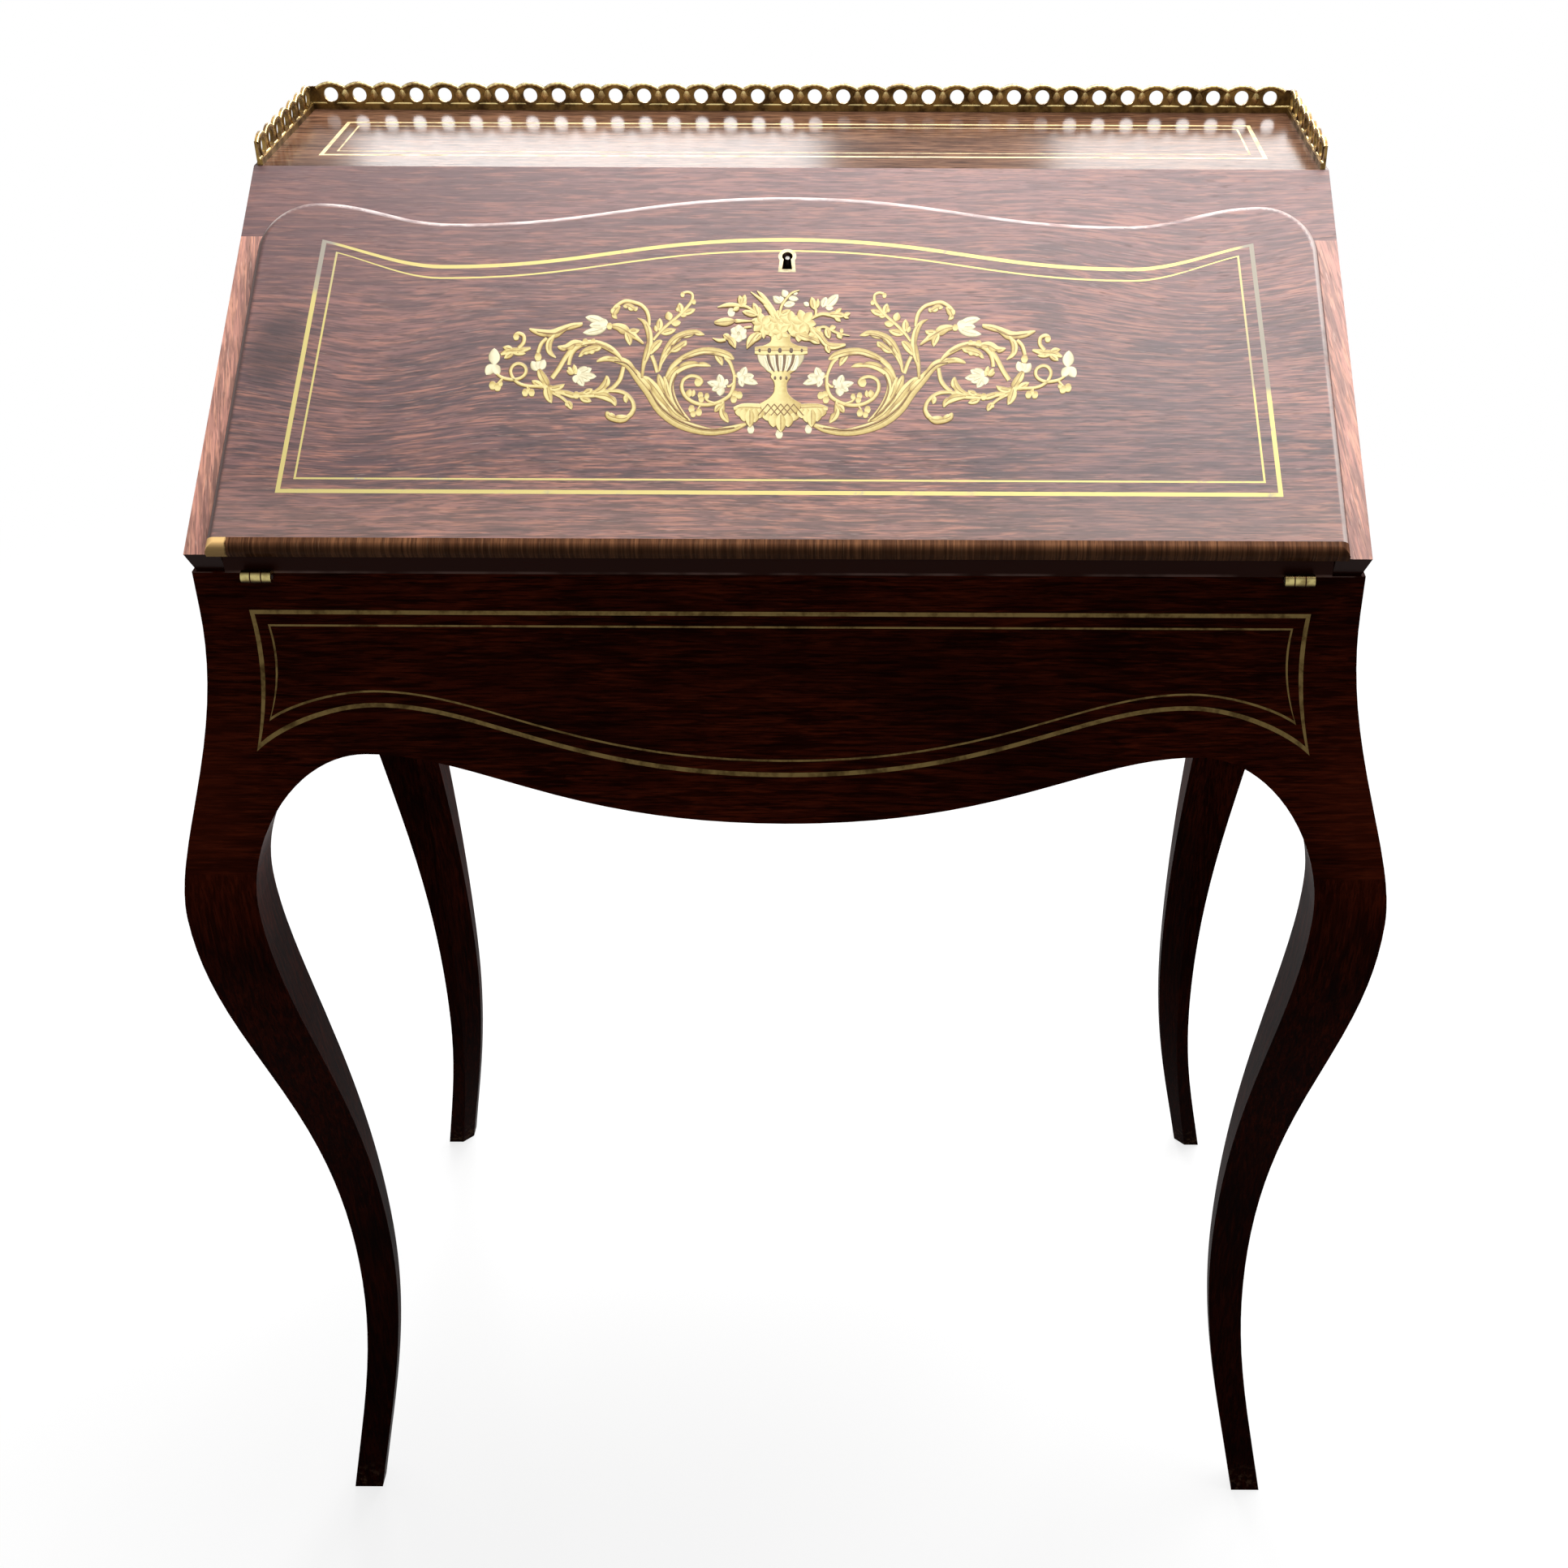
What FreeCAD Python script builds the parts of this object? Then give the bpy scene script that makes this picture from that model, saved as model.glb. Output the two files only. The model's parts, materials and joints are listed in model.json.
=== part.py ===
import FreeCAD, Part
import math
import os
from FreeCAD import Placement, Rotation, Vector

# Slant-front writing desk on cabriole legs, millimetres.
# The origin is on the floor under the middle of the case. X runs right, the front faces -Y.

# Case
CASE_WIDTH = 650.0
CASE_DEPTH = 370.0
FRAME_HEIGHT = 752.5
SIDE_FOOT = 11.5
SLOPE_RISE = 145.0
TOP_DEPTH = 136.0
SIDE_THICKNESS = 20.0
TOP_THICKNESS = 16.0
BACK_THICKNESS = 9.0
BACK_RECESS = 3.0
FASCIA_THICKNESS = 14.0
FASCIA_WIDTH = 54.3
QUIRK_DEPTH = 4.0

# Leg frame
FRAME_INSET = 2.0
POST_WIDTH = 45.0
APRON_THICKNESS = 20.0
TENON_TIP_GAP = 5.0
TENON_THICKNESS = 8.0
TENON_HEIGHT = 56.0
TENON_DROP = 14.0

# Cabriole curve: flare is measured outwards from the case side, drop down from the top of the frame
WAIST_DROP = 23.5
KNEE_DROP = 213.5
KNEE_FLARE = 30.5
KNEE_WIDTH = 43.5
KNEE_INNER_RISE = 10.0
ANKLE_HEIGHT = 206.0
ANKLE_FLARE = -14.5
CALF_HEIGHT = 236.0
CALF_SETBACK = 40.0
FOOT_FLARE = 11.5
FOOT_WIDTH = 20.5
FOOT_KICK = 14.0
FOOT_KICK_HEIGHT = 75.0
WAIST_SHARES = (0.45, 0.27)
LEG_SHARES = (0.30, 0.47)
INNER_LEG_SHARES = (0.47, 0.22)
ANKLE_SHARE = 0.40
KNEE_CORNER_SHARE = 0.10
CALF_CORNER_SHARE = 0.30
HEEL_CORNER_SHARE = 0.20

# Apron edge
ARCH_SETBACK = 85.0
ARCH_DROP = 111.0
FRONT_DROP = 40.0
SIDE_DROP = 22.0
ARCH_SHARES = (0.55, 0.27)
SHOULDER_SHARES = (0.52, 0.54)

# Inside
BED_THICKNESS = 12.0
BED_GAP = 0.3
BEARER_WIDTH = 14.0
GRADIN_DEPTH = 118.0
DRAWER_SPACE = 48.0
SHELF_THICKNESS = 7.0
HOUSING_DEPTH = 4.0
PARTITION_SPREAD = 98.0
DIVIDER_THICKNESS = 6.0
DIVIDER_SCOOP = 26.0
SCOOP_SHARES = (0.45, 0.45)
DRAWER_GAP = 0.6
DRAWER_FRONT = 9.0
DRAWER_SIDE = 5.0
DRAWER_BOTTOM = 3.5
DRAWER_BOTTOM_RISE = 2.0
DRAWER_BACK_GAP = 6.0
KNOB_RADIUS = 6.5
KNOB_REACH = 15.0
KNOB_NECK = 2.8
KNOB_PIN = 2.0

# Flap
LIP_THICKNESS = 8.0
LIP_OVERLAP = 7.0
LIP_FALL = 1.5
LIP_ROUND = 5.0
LIP_GAP = 0.3
NOSING_WIDTH = 6.3
BODY_THICKNESS = 11.0
BODY_SIDE_GAP = 1.0
BODY_END_GAP = 0.8
CREST_LAP = 27.0
VALLEY_INSET = 107.0
VALLEY_LAP = 6.0
HUMP_INSET = 25.0
HUMP_LAP = 21.0
CORNER_FALL = 35.0
HUMP_SHARES = (0.40, 0.40)
CREST_SHARES = (0.42, 0.45)
CORNER_SHARE = 0.55
LEATHER_MARGIN = 34.0
LEATHER_BOTTOM = 48.0
LEATHER_TOP_DROP = 35.0
LEATHER_THICKNESS = 1.2

# Brass lines let into the flap, the apron and the top
INLAY_DEPTH = 0.8
WIDE_LINE = 2.6
FINE_LINE = 1.2
LINE_SPACING = 9.0
FLAP_LINE_TOP_INSET = 31.5
FLAP_LINE_LOW_INSET = 27.5
FLAP_LINE_BOTTOM = 35.0
FLAP_LINE_CORNER_DROP = 9.0
FLAP_LINE_VALLEY_INSET = 104.0
FLAP_LINE_VALLEY_DROP = 27.5
FLAP_LINE_CREST_DROP = 6.5
FLAP_LINE_SHARES = (0.32, 0.34)
APRON_LINE_DROP = 23.5
APRON_LINE_TOP_INSET = 29.5
APRON_LINE_LOW_INSET = 22.5
APRON_LINE_BOW = 3.9
APRON_LINE_CORNER_DROP = 109.5
APRON_LINE_HUMP_INSET = 93.0
APRON_LINE_HUMP_DROP = 83.0
APRON_LINE_CENTRE_DROP = 123.5
APRON_CORNER_SHARES = (0.20, 0.50)
APRON_HUMP_SHARE = 0.36
TOP_LINE_SIDE = 33.5
TOP_LINE_FRONT = 23.0
TOP_LINE_BACK = 36.0

# Hinges
HINGE_INSET = 19.5
HINGE_WIDTH = 16.4
BARREL_RADIUS = 3.6
BARREL_GAP = 0.3
PIN_RADIUS = 1.5
PIN_FIT = 0.05
KNUCKLE_GAP = 0.15
MIDDLE_KNUCKLE = 6.0
LEAF_THICKNESS = 1.4
LEAF_MARGIN = 2.0
LEAF_CLIMB = 26.0
JOINT_GAP = 0.4
SCREW_RADIUS = 1.1
SCREW_HEAD = 2.3
SCREW_LENGTH = 9.0
LEAF_SCREW_SHARES = (0.42, 0.80)

# Sliding stays
STAY_BEHIND_POST = 19.1
STAY_DROP = 8.0
STAY_CHORD = 13.0
STAY_WIDTH = 10.0
STAY_THICKNESS = 2.0
STAY_SIDE_GAP = 2.5
STAY_SLOT_AHEAD = 6.0
STAY_SLOT_BEHIND = 50.0
STAY_CLEARANCE = 2.0
STUD_RADIUS = 2.0
STUD_HEAD = 4.0
STUD_HEAD_LENGTH = 1.6
STUD_SINK = 8.0
SLOT_CLEARANCE = 0.2
EAR_THICKNESS = 2.0
EAR_GAP = 0.3
BRACKET_LENGTH = 26.0
BRACKET_WIDTH = 12.0
BRACKET_SCREW_LENGTH = 8.0
BRACKET_SCREW_SHARE = 0.34

# Lock
LOCK_WIDTH = 44.0
LOCK_HEIGHT = 34.0
LOCK_THICKNESS = 9.0
LOCK_WALL = 1.6
LOCK_SCREW_SHARE = 0.40
LOCK_SCREW_LENGTH = 7.0
BOLT_WIDTH = 22.0
BOLT_LENGTH = 22.0
BOLT_THROW = 7.0
BOLT_FIT = 0.1
KEY_DROP = 20.0
KEY_RADIUS = 3.1
KEY_NECK_WIDTH = 3.8
KEY_SKIRT_WIDTH = 6.0
KEY_SKIRT_LENGTH = 9.5
KEY_PIN_RADIUS = 1.3
KEY_PIN_SINK = 1.5
ESCUTCHEON_BORDER = 2.2
STRIKE_LENGTH = 40.0
STRIKE_WIDTH = 10.0
STRIKE_THICKNESS = 1.2
STRIKE_FIT = 0.5

# Gallery
GALLERY_INSET = 2.0
GALLERY_FRONT_INSET = 1.0
GALLERY_RINGS = 34
GALLERY_SIDE_RINGS = 7
GALLERY_END = 5.2
GALLERY_SIDE_END = 1.5
GALLERY_RAIL_HEIGHT = 3.5
GALLERY_RAIL_THICKNESS = 3.2
GALLERY_THICKNESS = 1.6
GALLERY_VALLEY = 14.2
GALLERY_CREST = 17.3
RING_HEIGHT = 9.2
RING_HOLE_RADIUS = 4.6
RING_BORDER = 1.7
RING_RELIEF = 0.6
GALLERY_PIN_RADIUS = 0.9
GALLERY_PIN_LENGTH = 10.0
GALLERY_PINS_BACK = 5
GALLERY_PINS_SIDE = 2

OVERRUN = 10.0

HALF_WIDTH = CASE_WIDTH / 2
HALF_DEPTH = CASE_DEPTH / 2
FRONT = -HALF_DEPTH
INSIDE = HALF_WIDTH - SIDE_THICKNESS
SLOPE_RUN = CASE_DEPTH - TOP_DEPTH
SLOPE_HEIGHT = FRAME_HEIGHT + SIDE_FOOT
TOP_HEIGHT = SLOPE_HEIGHT + SLOPE_RISE
SLOPE = math.atan2(SLOPE_RISE, SLOPE_RUN)
SLOPE_LENGTH = math.hypot(SLOPE_RISE, SLOPE_RUN)
FASCIA_START = SLOPE_LENGTH - FASCIA_WIDTH
FLAP_SWING = math.pi - SLOPE
AXIS_Y = FRONT - BARREL_RADIUS - BARREL_GAP
AXIS_Z = FRAME_HEIGHT + JOINT_GAP / 2
POST_INSIDE = FRAME_INSET + POST_WIDTH
RAIL_INSIDE = FRAME_INSET + APRON_THICKNESS
KNEE_HEIGHT = FRAME_HEIGHT - KNEE_DROP
KNEE_INNER_HEIGHT = KNEE_HEIGHT + KNEE_INNER_RISE
ARCH_HEIGHT = FRAME_HEIGHT - ARCH_DROP
BACK_FACE = HALF_DEPTH - BACK_RECESS - BACK_THICKNESS
GRADIN_FRONT = BACK_FACE - GRADIN_DEPTH
SHELF_HEIGHT = FRAME_HEIGHT + DRAWER_SPACE
CASE_CEILING = TOP_HEIGHT - TOP_THICKNESS
FLAP_BOTTOM = FRAME_HEIGHT + JOINT_GAP
FLAP_BODY_SPREAD = INSIDE - BODY_SIDE_GAP
FLAP_BODY_REACH = FASCIA_START - BODY_END_GAP
HUMP_REACH = FASCIA_START + HUMP_LAP
KEY_REACH = FASCIA_START - KEY_DROP
HINGE_SPREAD = INSIDE - HINGE_INSET
LEAF_DEPTH = APRON_THICKNESS - LEAF_MARGIN
STAY_RADIUS = FRONT - AXIS_Y + POST_INSIDE + STAY_BEHIND_POST
STAY_PLANE = HALF_WIDTH - max(SIDE_THICKNESS, RAIL_INSIDE) - STAY_SIDE_GAP - STAY_THICKNESS / 2
X_AXIS = Vector(1, 0, 0)
Y_AXIS = Vector(0, 1, 0)
Z_AXIS = Vector(0, 0, 1)
ORIGIN = Vector(0, 0, 0)


def block(x_range, y_range, z_range):
    """Box between three pairs of coordinates."""
    corner = Vector(min(x_range), min(y_range), min(z_range))
    sizes = [abs(pair[1] - pair[0]) for pair in (x_range, y_range, z_range)]
    return Part.makeBox(*sizes, corner)


def rod(radius, start, end):
    """Round bar between two points."""
    return Part.makeCylinder(radius, (end - start).Length, start, end - start)


def mirrored(shape):
    """The same piece on the other side of the middle plane."""
    return shape.mirror(ORIGIN, X_AXIS)


def both(shape):
    """A piece and its mirror image, as a list."""
    return [shape, mirrored(shape)]


def paired(shapes):
    """One group of pieces and their mirror images."""
    return Part.makeCompound([half for shape in shapes for half in both(shape)])


def cut_all(shape, tools):
    """The shape with every tool cut away."""
    for tool in tools:
        shape = shape.cut(tool)
    return shape


def bezier(*points):
    """Curved edge between its first and last points, drawn by the points between."""
    curve = Part.BezierCurve()
    curve.setPoles(list(points))
    return curve.toBSpline().toShape()


def s_curve(start, end, shares, along):
    """Double bend from start to end whose two ends run along one axis."""
    reach = along * (end - start).dot(along)
    return bezier(start, start + reach * shares[0], end - reach * shares[1], end)


def lines(*points):
    """Straight edges joining points."""
    return [Part.makeLine(a, b) for a, b in zip(points, points[1:])]


def face_of(edges):
    """Flat face inside a closed run of edges."""
    return Part.Face(Part.Wire(Part.__sortEdges__(edges)))


def on_slope(shape):
    """Place a shape drawn with X across, Y up the slope and Z out of the slanted front."""
    turn = Rotation(X_AXIS, math.degrees(SLOPE))
    shape.Placement = Placement(Vector(0, FRONT, SLOPE_HEIGHT), turn).multiply(shape.Placement)
    return shape


def slope_point(across, up, out):
    """A point of the slanted front in the desk's own axes."""
    y = FRONT + up * math.cos(SLOPE) - out * math.sin(SLOPE)
    z = SLOPE_HEIGHT + up * math.sin(SLOPE) + out * math.cos(SLOPE)
    return Vector(across, y, z)


def screw(head_centre, inwards, length):
    """Countersunk wood screw with its head flush at a point."""
    head = Part.makeCone(SCREW_HEAD, SCREW_RADIUS, SCREW_HEAD - SCREW_RADIUS, head_centre, inwards)
    return head.fuse(Part.makeCylinder(SCREW_RADIUS, length, head_centre, inwards)).removeSplitter()


# Leg frame

def flare_point(flare, height):
    """A point of the leg curve: X is the distance outside the case plane, Z the height."""
    return Vector(flare, 0, height)


def outer_curve():
    """Outer edge of the frame from its top down to the knee."""
    top = flare_point(-FRAME_INSET, FRAME_HEIGHT)
    waist = flare_point(-FRAME_INSET, FRAME_HEIGHT - WAIST_DROP)
    knee = flare_point(KNEE_FLARE, KNEE_HEIGHT)
    return lines(top, waist) + [s_curve(waist, knee, WAIST_SHARES, Z_AXIS)]


def foot_curve(start, foot, kick):
    """Lower leg from its thin part to the floor, kicked out at the foot."""
    hollow = flare_point(foot.x - kick, FOOT_KICK_HEIGHT)
    return bezier(start, start - Z_AXIS * start.z * ANKLE_SHARE, hollow, foot)


def leg_face():
    """Pattern of a leg, the same for its front and its side."""
    knee = flare_point(KNEE_FLARE, KNEE_HEIGHT)
    ankle = flare_point(ANKLE_FLARE, ANKLE_HEIGHT)
    foot = flare_point(FOOT_FLARE, 0)
    heel = flare_point(FOOT_FLARE - FOOT_WIDTH, 0)
    calf = flare_point(-CALF_SETBACK, CALF_HEIGHT)
    knee_inside = flare_point(KNEE_FLARE - KNEE_WIDTH, KNEE_INNER_HEIGHT)
    arch = flare_point(-ARCH_SETBACK, ARCH_HEIGHT)
    arch_top = flare_point(-ARCH_SETBACK, FRAME_HEIGHT)
    edges = outer_curve()
    edges.append(s_curve(knee, ankle, LEG_SHARES, Z_AXIS))
    edges.append(foot_curve(ankle, foot, FOOT_KICK))
    edges.extend(lines(foot, heel))
    edges.append(foot_curve(calf, heel, FOOT_KICK))
    edges.append(s_curve(calf, knee_inside, INNER_LEG_SHARES, Z_AXIS))
    edges.append(shoulder(arch, knee_inside))
    edges.extend(lines(arch, arch_top, flare_point(-FRAME_INSET, FRAME_HEIGHT)))
    return face_of(edges)


def shoulder(arch, knee_inside):
    """Round inner corner where the apron's edge runs down into the leg."""
    level = X_AXIS * (knee_inside.x - arch.x) * SHOULDER_SHARES[0]
    upright = Z_AXIS * (arch.z - knee_inside.z) * SHOULDER_SHARES[1]
    return bezier(arch, arch + level, knee_inside + upright, knee_inside)


def facing(shape, half_width):
    """Shift a pattern from the case plane to its place in the front view."""
    shape.translate(Vector(half_width, 0, 0))
    return shape


def quarter_turn(shape):
    """Turn a front-view solid so that its +X side faces +Y."""
    return shape.rotated(ORIGIN, Z_AXIS, math.degrees(math.pi / 2))


def pattern_prism(face, half_width, half_depth):
    """Front pattern run through the whole depth of the frame."""
    run = half_depth + KNEE_FLARE + OVERRUN
    solid = facing(face, half_width).extrude(Vector(0, 2 * run, 0))
    solid.translate(Vector(0, -run, 0))
    return solid


def leg():
    """Leg of the back right corner: the same pattern sawn from two sides."""
    front_cut = pattern_prism(leg_face(), HALF_WIDTH, HALF_DEPTH)
    side_cut = quarter_turn(pattern_prism(leg_face(), HALF_DEPTH, HALF_WIDTH))
    corner = block((HALF_WIDTH - POST_INSIDE, HALF_WIDTH + KNEE_FLARE + OVERRUN),
                   (HALF_DEPTH - POST_INSIDE, HALF_DEPTH + KNEE_FLARE + OVERRUN),
                   (0, FRAME_HEIGHT))
    return front_cut.common(side_cut).common(corner).cut(inner_corner())


def inner_corner():
    """Waste sawn off the hidden inner corner of a leg, below the knee.

    Drawn on the back plane of the case and swept along the diagonal, so its X counts both flares.
    """
    calf_width = CALF_SETBACK + ANKLE_FLARE
    heel = flare_point(2 * (FOOT_FLARE - FOOT_WIDTH * (1 - HEEL_CORNER_SHARE)), 0)
    calf = flare_point(2 * (ANKLE_FLARE - calf_width * (1 - CALF_CORNER_SHARE)), CALF_HEIGHT)
    knee = flare_point(2 * (KNEE_FLARE - KNEE_WIDTH * (1 - KNEE_CORNER_SHARE)), KNEE_INNER_HEIGHT)
    post = flare_point(-2 * POST_INSIDE, ARCH_HEIGHT)
    far = flare_point(-2 * POST_INSIDE, 0)
    edges = [foot_curve(calf, heel, 2 * FOOT_KICK), s_curve(calf, knee, INNER_LEG_SHARES, Z_AXIS)]
    waste = face_of(edges + [shoulder(post, knee)] + lines(post, far, heel))
    waste.translate(Vector(HALF_WIDTH - CASE_WIDTH, HALF_DEPTH + CASE_WIDTH, 0))
    return waste.extrude(Vector(2 * CASE_WIDTH, -2 * CASE_WIDTH, 0))


def apron_section(length, depth, inner):
    """Bar with the leg's outer curve, along X at +Y, between two depths of the case plane."""
    knee = flare_point(KNEE_FLARE, KNEE_HEIGHT)
    low = flare_point(-inner, KNEE_HEIGHT)
    high = flare_point(-inner, FRAME_HEIGHT)
    face = face_of(outer_curve() + lines(knee, low, high, flare_point(-FRAME_INSET, FRAME_HEIGHT)))
    bar = face.extrude(Vector(0, length, 0))
    bar.translate(Vector(depth, -length / 2, 0))
    return quarter_turn(bar)


def apron_edge(half_length, drop):
    """Serpentine lower edge of an apron, from its middle to the arch beside the leg."""
    middle = Vector(0, 0, ARCH_HEIGHT - drop)
    arch = Vector(half_length - ARCH_SETBACK, 0, ARCH_HEIGHT)
    knee_inside = Vector(half_length + KNEE_FLARE - KNEE_WIDTH, 0, KNEE_INNER_HEIGHT)
    return [s_curve(middle, arch, ARCH_SHARES, X_AXIS), shoulder(arch, knee_inside)]


def apron(half_length, half_depth, drop):
    """Apron along X at +Y with a tenon at each end."""
    edge = apron_edge(half_length, drop)
    knee_x = half_length + KNEE_FLARE - KNEE_WIDTH
    top_left = Vector(-knee_x, 0, FRAME_HEIGHT)
    top_right = Vector(knee_x, 0, FRAME_HEIGHT)
    low_left = Vector(-knee_x, 0, KNEE_INNER_HEIGHT)
    low_right = Vector(knee_x, 0, KNEE_INNER_HEIGHT)
    outline = face_of(edge + [mirrored(piece) for piece in edge]
                      + lines(low_right, top_right, top_left, low_left))
    reach = half_depth + KNEE_FLARE + OVERRUN
    shape = apron_section(2 * half_length, half_depth, RAIL_INSIDE)
    shape = shape.common(outline.extrude(Vector(0, reach, 0)))
    between = half_length - POST_INSIDE
    shape = shape.common(block((-between, between), (0, reach), (0, FRAME_HEIGHT)))
    tenon_inset = RAIL_INSIDE - (APRON_THICKNESS - TENON_THICKNESS) / 2
    tenon_x = half_length - tenon_inset - TENON_TIP_GAP
    tenon_y = half_depth - tenon_inset
    tenon_top = FRAME_HEIGHT - TENON_DROP
    tenon = block((-tenon_x, tenon_x), (tenon_y, tenon_y + TENON_THICKNESS),
                  (tenon_top - TENON_HEIGHT, tenon_top))
    return shape.fuse(tenon).removeSplitter()


# Upper case

def mitre():
    """Front arris of the top and, under it, the inner end of the joint between top and fascia."""
    arris = slope_point(-HALF_WIDTH, SLOPE_LENGTH, 0)
    fall = CASE_CEILING - SLOPE_HEIGHT + FASCIA_THICKNESS * math.cos(SLOPE)
    return arris, slope_point(-HALF_WIDTH, fall / math.sin(SLOPE), -FASCIA_THICKNESS)


def slanted_fascia():
    """Fixed board across the top of the slanted front, mitred to the top."""
    arris, inner = mitre()
    low_out = slope_point(-HALF_WIDTH, FASCIA_START, 0)
    low_in = slope_point(-HALF_WIDTH, FASCIA_START, -FASCIA_THICKNESS)
    return face_of(lines(arris, low_out, low_in, inner, arris)).extrude(X_AXIS * CASE_WIDTH)


def flat_top():
    """Top board, mitred to the fascia along its front edge."""
    arris, inner = mitre()
    back_high = Vector(-HALF_WIDTH, HALF_DEPTH, TOP_HEIGHT)
    back_low = Vector(-HALF_WIDTH, HALF_DEPTH, CASE_CEILING)
    return face_of(lines(arris, back_high, back_low, inner, arris)).extrude(X_AXIS * CASE_WIDTH)


def side_panel():
    """Right side with the slanted front edge, and a quirk along its foot."""
    corners = [(FRONT, FRAME_HEIGHT), (FRONT, SLOPE_HEIGHT), (HALF_DEPTH - TOP_DEPTH, TOP_HEIGHT),
               (HALF_DEPTH, TOP_HEIGHT), (HALF_DEPTH, FRAME_HEIGHT), (FRONT, FRAME_HEIGHT)]
    face = face_of(lines(*[Vector(INSIDE, y, z) for y, z in corners]))
    panel = face.extrude(Vector(SIDE_THICKNESS, 0, 0))
    outer_top = Vector(HALF_WIDTH, FRONT, SLOPE_HEIGHT)
    outer_foot = Vector(HALF_WIDTH, FRONT, FRAME_HEIGHT)
    side_wedge = face_of(lines(outer_top, outer_foot, outer_foot - X_AXIS * QUIRK_DEPTH, outer_top))
    inner_top = Vector(INSIDE, FRONT, SLOPE_HEIGHT)
    inner_foot = Vector(INSIDE, FRONT, FRAME_HEIGHT)
    front_wedge = face_of(lines(inner_top, inner_foot, inner_foot + Y_AXIS * QUIRK_DEPTH, inner_top))
    panel = panel.cut(side_wedge.extrude(Vector(0, CASE_DEPTH, 0)))
    return panel.cut(front_wedge.extrude(Vector(SIDE_THICKNESS, 0, 0)))


def back_board():
    """Plain back between the sides."""
    return block((-INSIDE, INSIDE), (BACK_FACE, BACK_FACE + BACK_THICKNESS), (FRAME_HEIGHT, CASE_CEILING))


# Inside

def writing_bed():
    """Fixed floor of the desk inside the leg frame, notched round the posts and for the stays."""
    half_x = HALF_WIDTH - RAIL_INSIDE - BED_GAP
    half_y = HALF_DEPTH - RAIL_INSIDE - BED_GAP
    low = FRAME_HEIGHT - BED_THICKNESS
    bed = block((-half_x, half_x), (-half_y, half_y), (low, FRAME_HEIGHT))
    post_x = HALF_WIDTH - POST_INSIDE - BED_GAP
    post_y = HALF_DEPTH - POST_INSIDE - BED_GAP
    for side in (-1, 1):
        for end in (-1, 1):
            bed = bed.cut(block((side * post_x, side * HALF_WIDTH), (end * post_y, end * HALF_DEPTH),
                                (low - OVERRUN, FRAME_HEIGHT + OVERRUN)))
    stud = about_axis(STAY_PLANE, STUD_ANGLE)
    slot = block((stud.x - STAY_THICKNESS / 2 - STAY_CLEARANCE, HALF_WIDTH),
                 (stud.y - STAY_SLOT_AHEAD, stud.y + STAY_SLOT_BEHIND),
                 (low - OVERRUN, FRAME_HEIGHT + OVERRUN))
    return cut_all(bed, both(slot))


def bed_bearers():
    """Strips along the front and back aprons that carry the bed."""
    half = HALF_WIDTH - POST_INSIDE
    high = FRAME_HEIGHT - BED_THICKNESS
    outer = HALF_DEPTH - RAIL_INSIDE
    strip = block((-half, half), (outer - BEARER_WIDTH, outer), (high - BEARER_WIDTH, high))
    return [strip, strip.mirror(ORIGIN, Y_AXIS)]


def shelf():
    """Shelf over the drawers, housed in both sides."""
    half = INSIDE + HOUSING_DEPTH
    return block((-half, half), (GRADIN_FRONT, BACK_FACE), (SHELF_HEIGHT, SHELF_HEIGHT + SHELF_THICKNESS))


def partition():
    """Upright beside a drawer, under the shelf."""
    return block((PARTITION_SPREAD, PARTITION_SPREAD + DIVIDER_THICKNESS), (GRADIN_FRONT, BACK_FACE),
                 (FRAME_HEIGHT, SHELF_HEIGHT))


def divider():
    """Pigeonhole upright with a scooped front edge."""
    low = SHELF_HEIGHT + SHELF_THICKNESS
    foot = Vector(PARTITION_SPREAD, GRADIN_FRONT, low)
    head = Vector(PARTITION_SPREAD, GRADIN_FRONT + DIVIDER_SCOOP, CASE_CEILING)
    back_high = Vector(PARTITION_SPREAD, BACK_FACE, CASE_CEILING)
    back_low = Vector(PARTITION_SPREAD, BACK_FACE, low)
    face = face_of([s_curve(foot, head, SCOOP_SHARES, Z_AXIS)] + lines(head, back_high, back_low, foot))
    return face.extrude(Vector(DIVIDER_THICKNESS, 0, 0))


def drawer():
    """Right-hand drawer as front, sides, back, bottom and knob."""
    inner = PARTITION_SPREAD + DIVIDER_THICKNESS + DRAWER_GAP
    outer = INSIDE - DRAWER_GAP
    low = FRAME_HEIGHT + DRAWER_GAP / 2
    high = SHELF_HEIGHT - DRAWER_GAP
    front_back = GRADIN_FRONT + DRAWER_FRONT
    rear = BACK_FACE - DRAWER_BACK_GAP
    floor = low + DRAWER_BOTTOM_RISE
    front = block((inner, outer), (GRADIN_FRONT, front_back), (low, high))
    near = block((inner, inner + DRAWER_SIDE), (front_back, rear), (low, high))
    far = block((outer - DRAWER_SIDE, outer), (front_back, rear), (low, high))
    span = (inner + DRAWER_SIDE, outer - DRAWER_SIDE)
    back = block(span, (rear - DRAWER_SIDE, rear), (floor + DRAWER_BOTTOM, high))
    bottom = block(span, (front_back, rear), (floor, floor + DRAWER_BOTTOM))
    seat = Vector((inner + outer) / 2, GRADIN_FRONT, (low + high) / 2)
    pin_hole = rod(KNOB_PIN, seat, seat + Y_AXIS * DRAWER_FRONT)
    return {"front": front.cut(pin_hole), "sides": Part.makeCompound([near, far]), "back": back,
            "bottom": bottom, "knob": drawer_knob(seat)}


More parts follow.
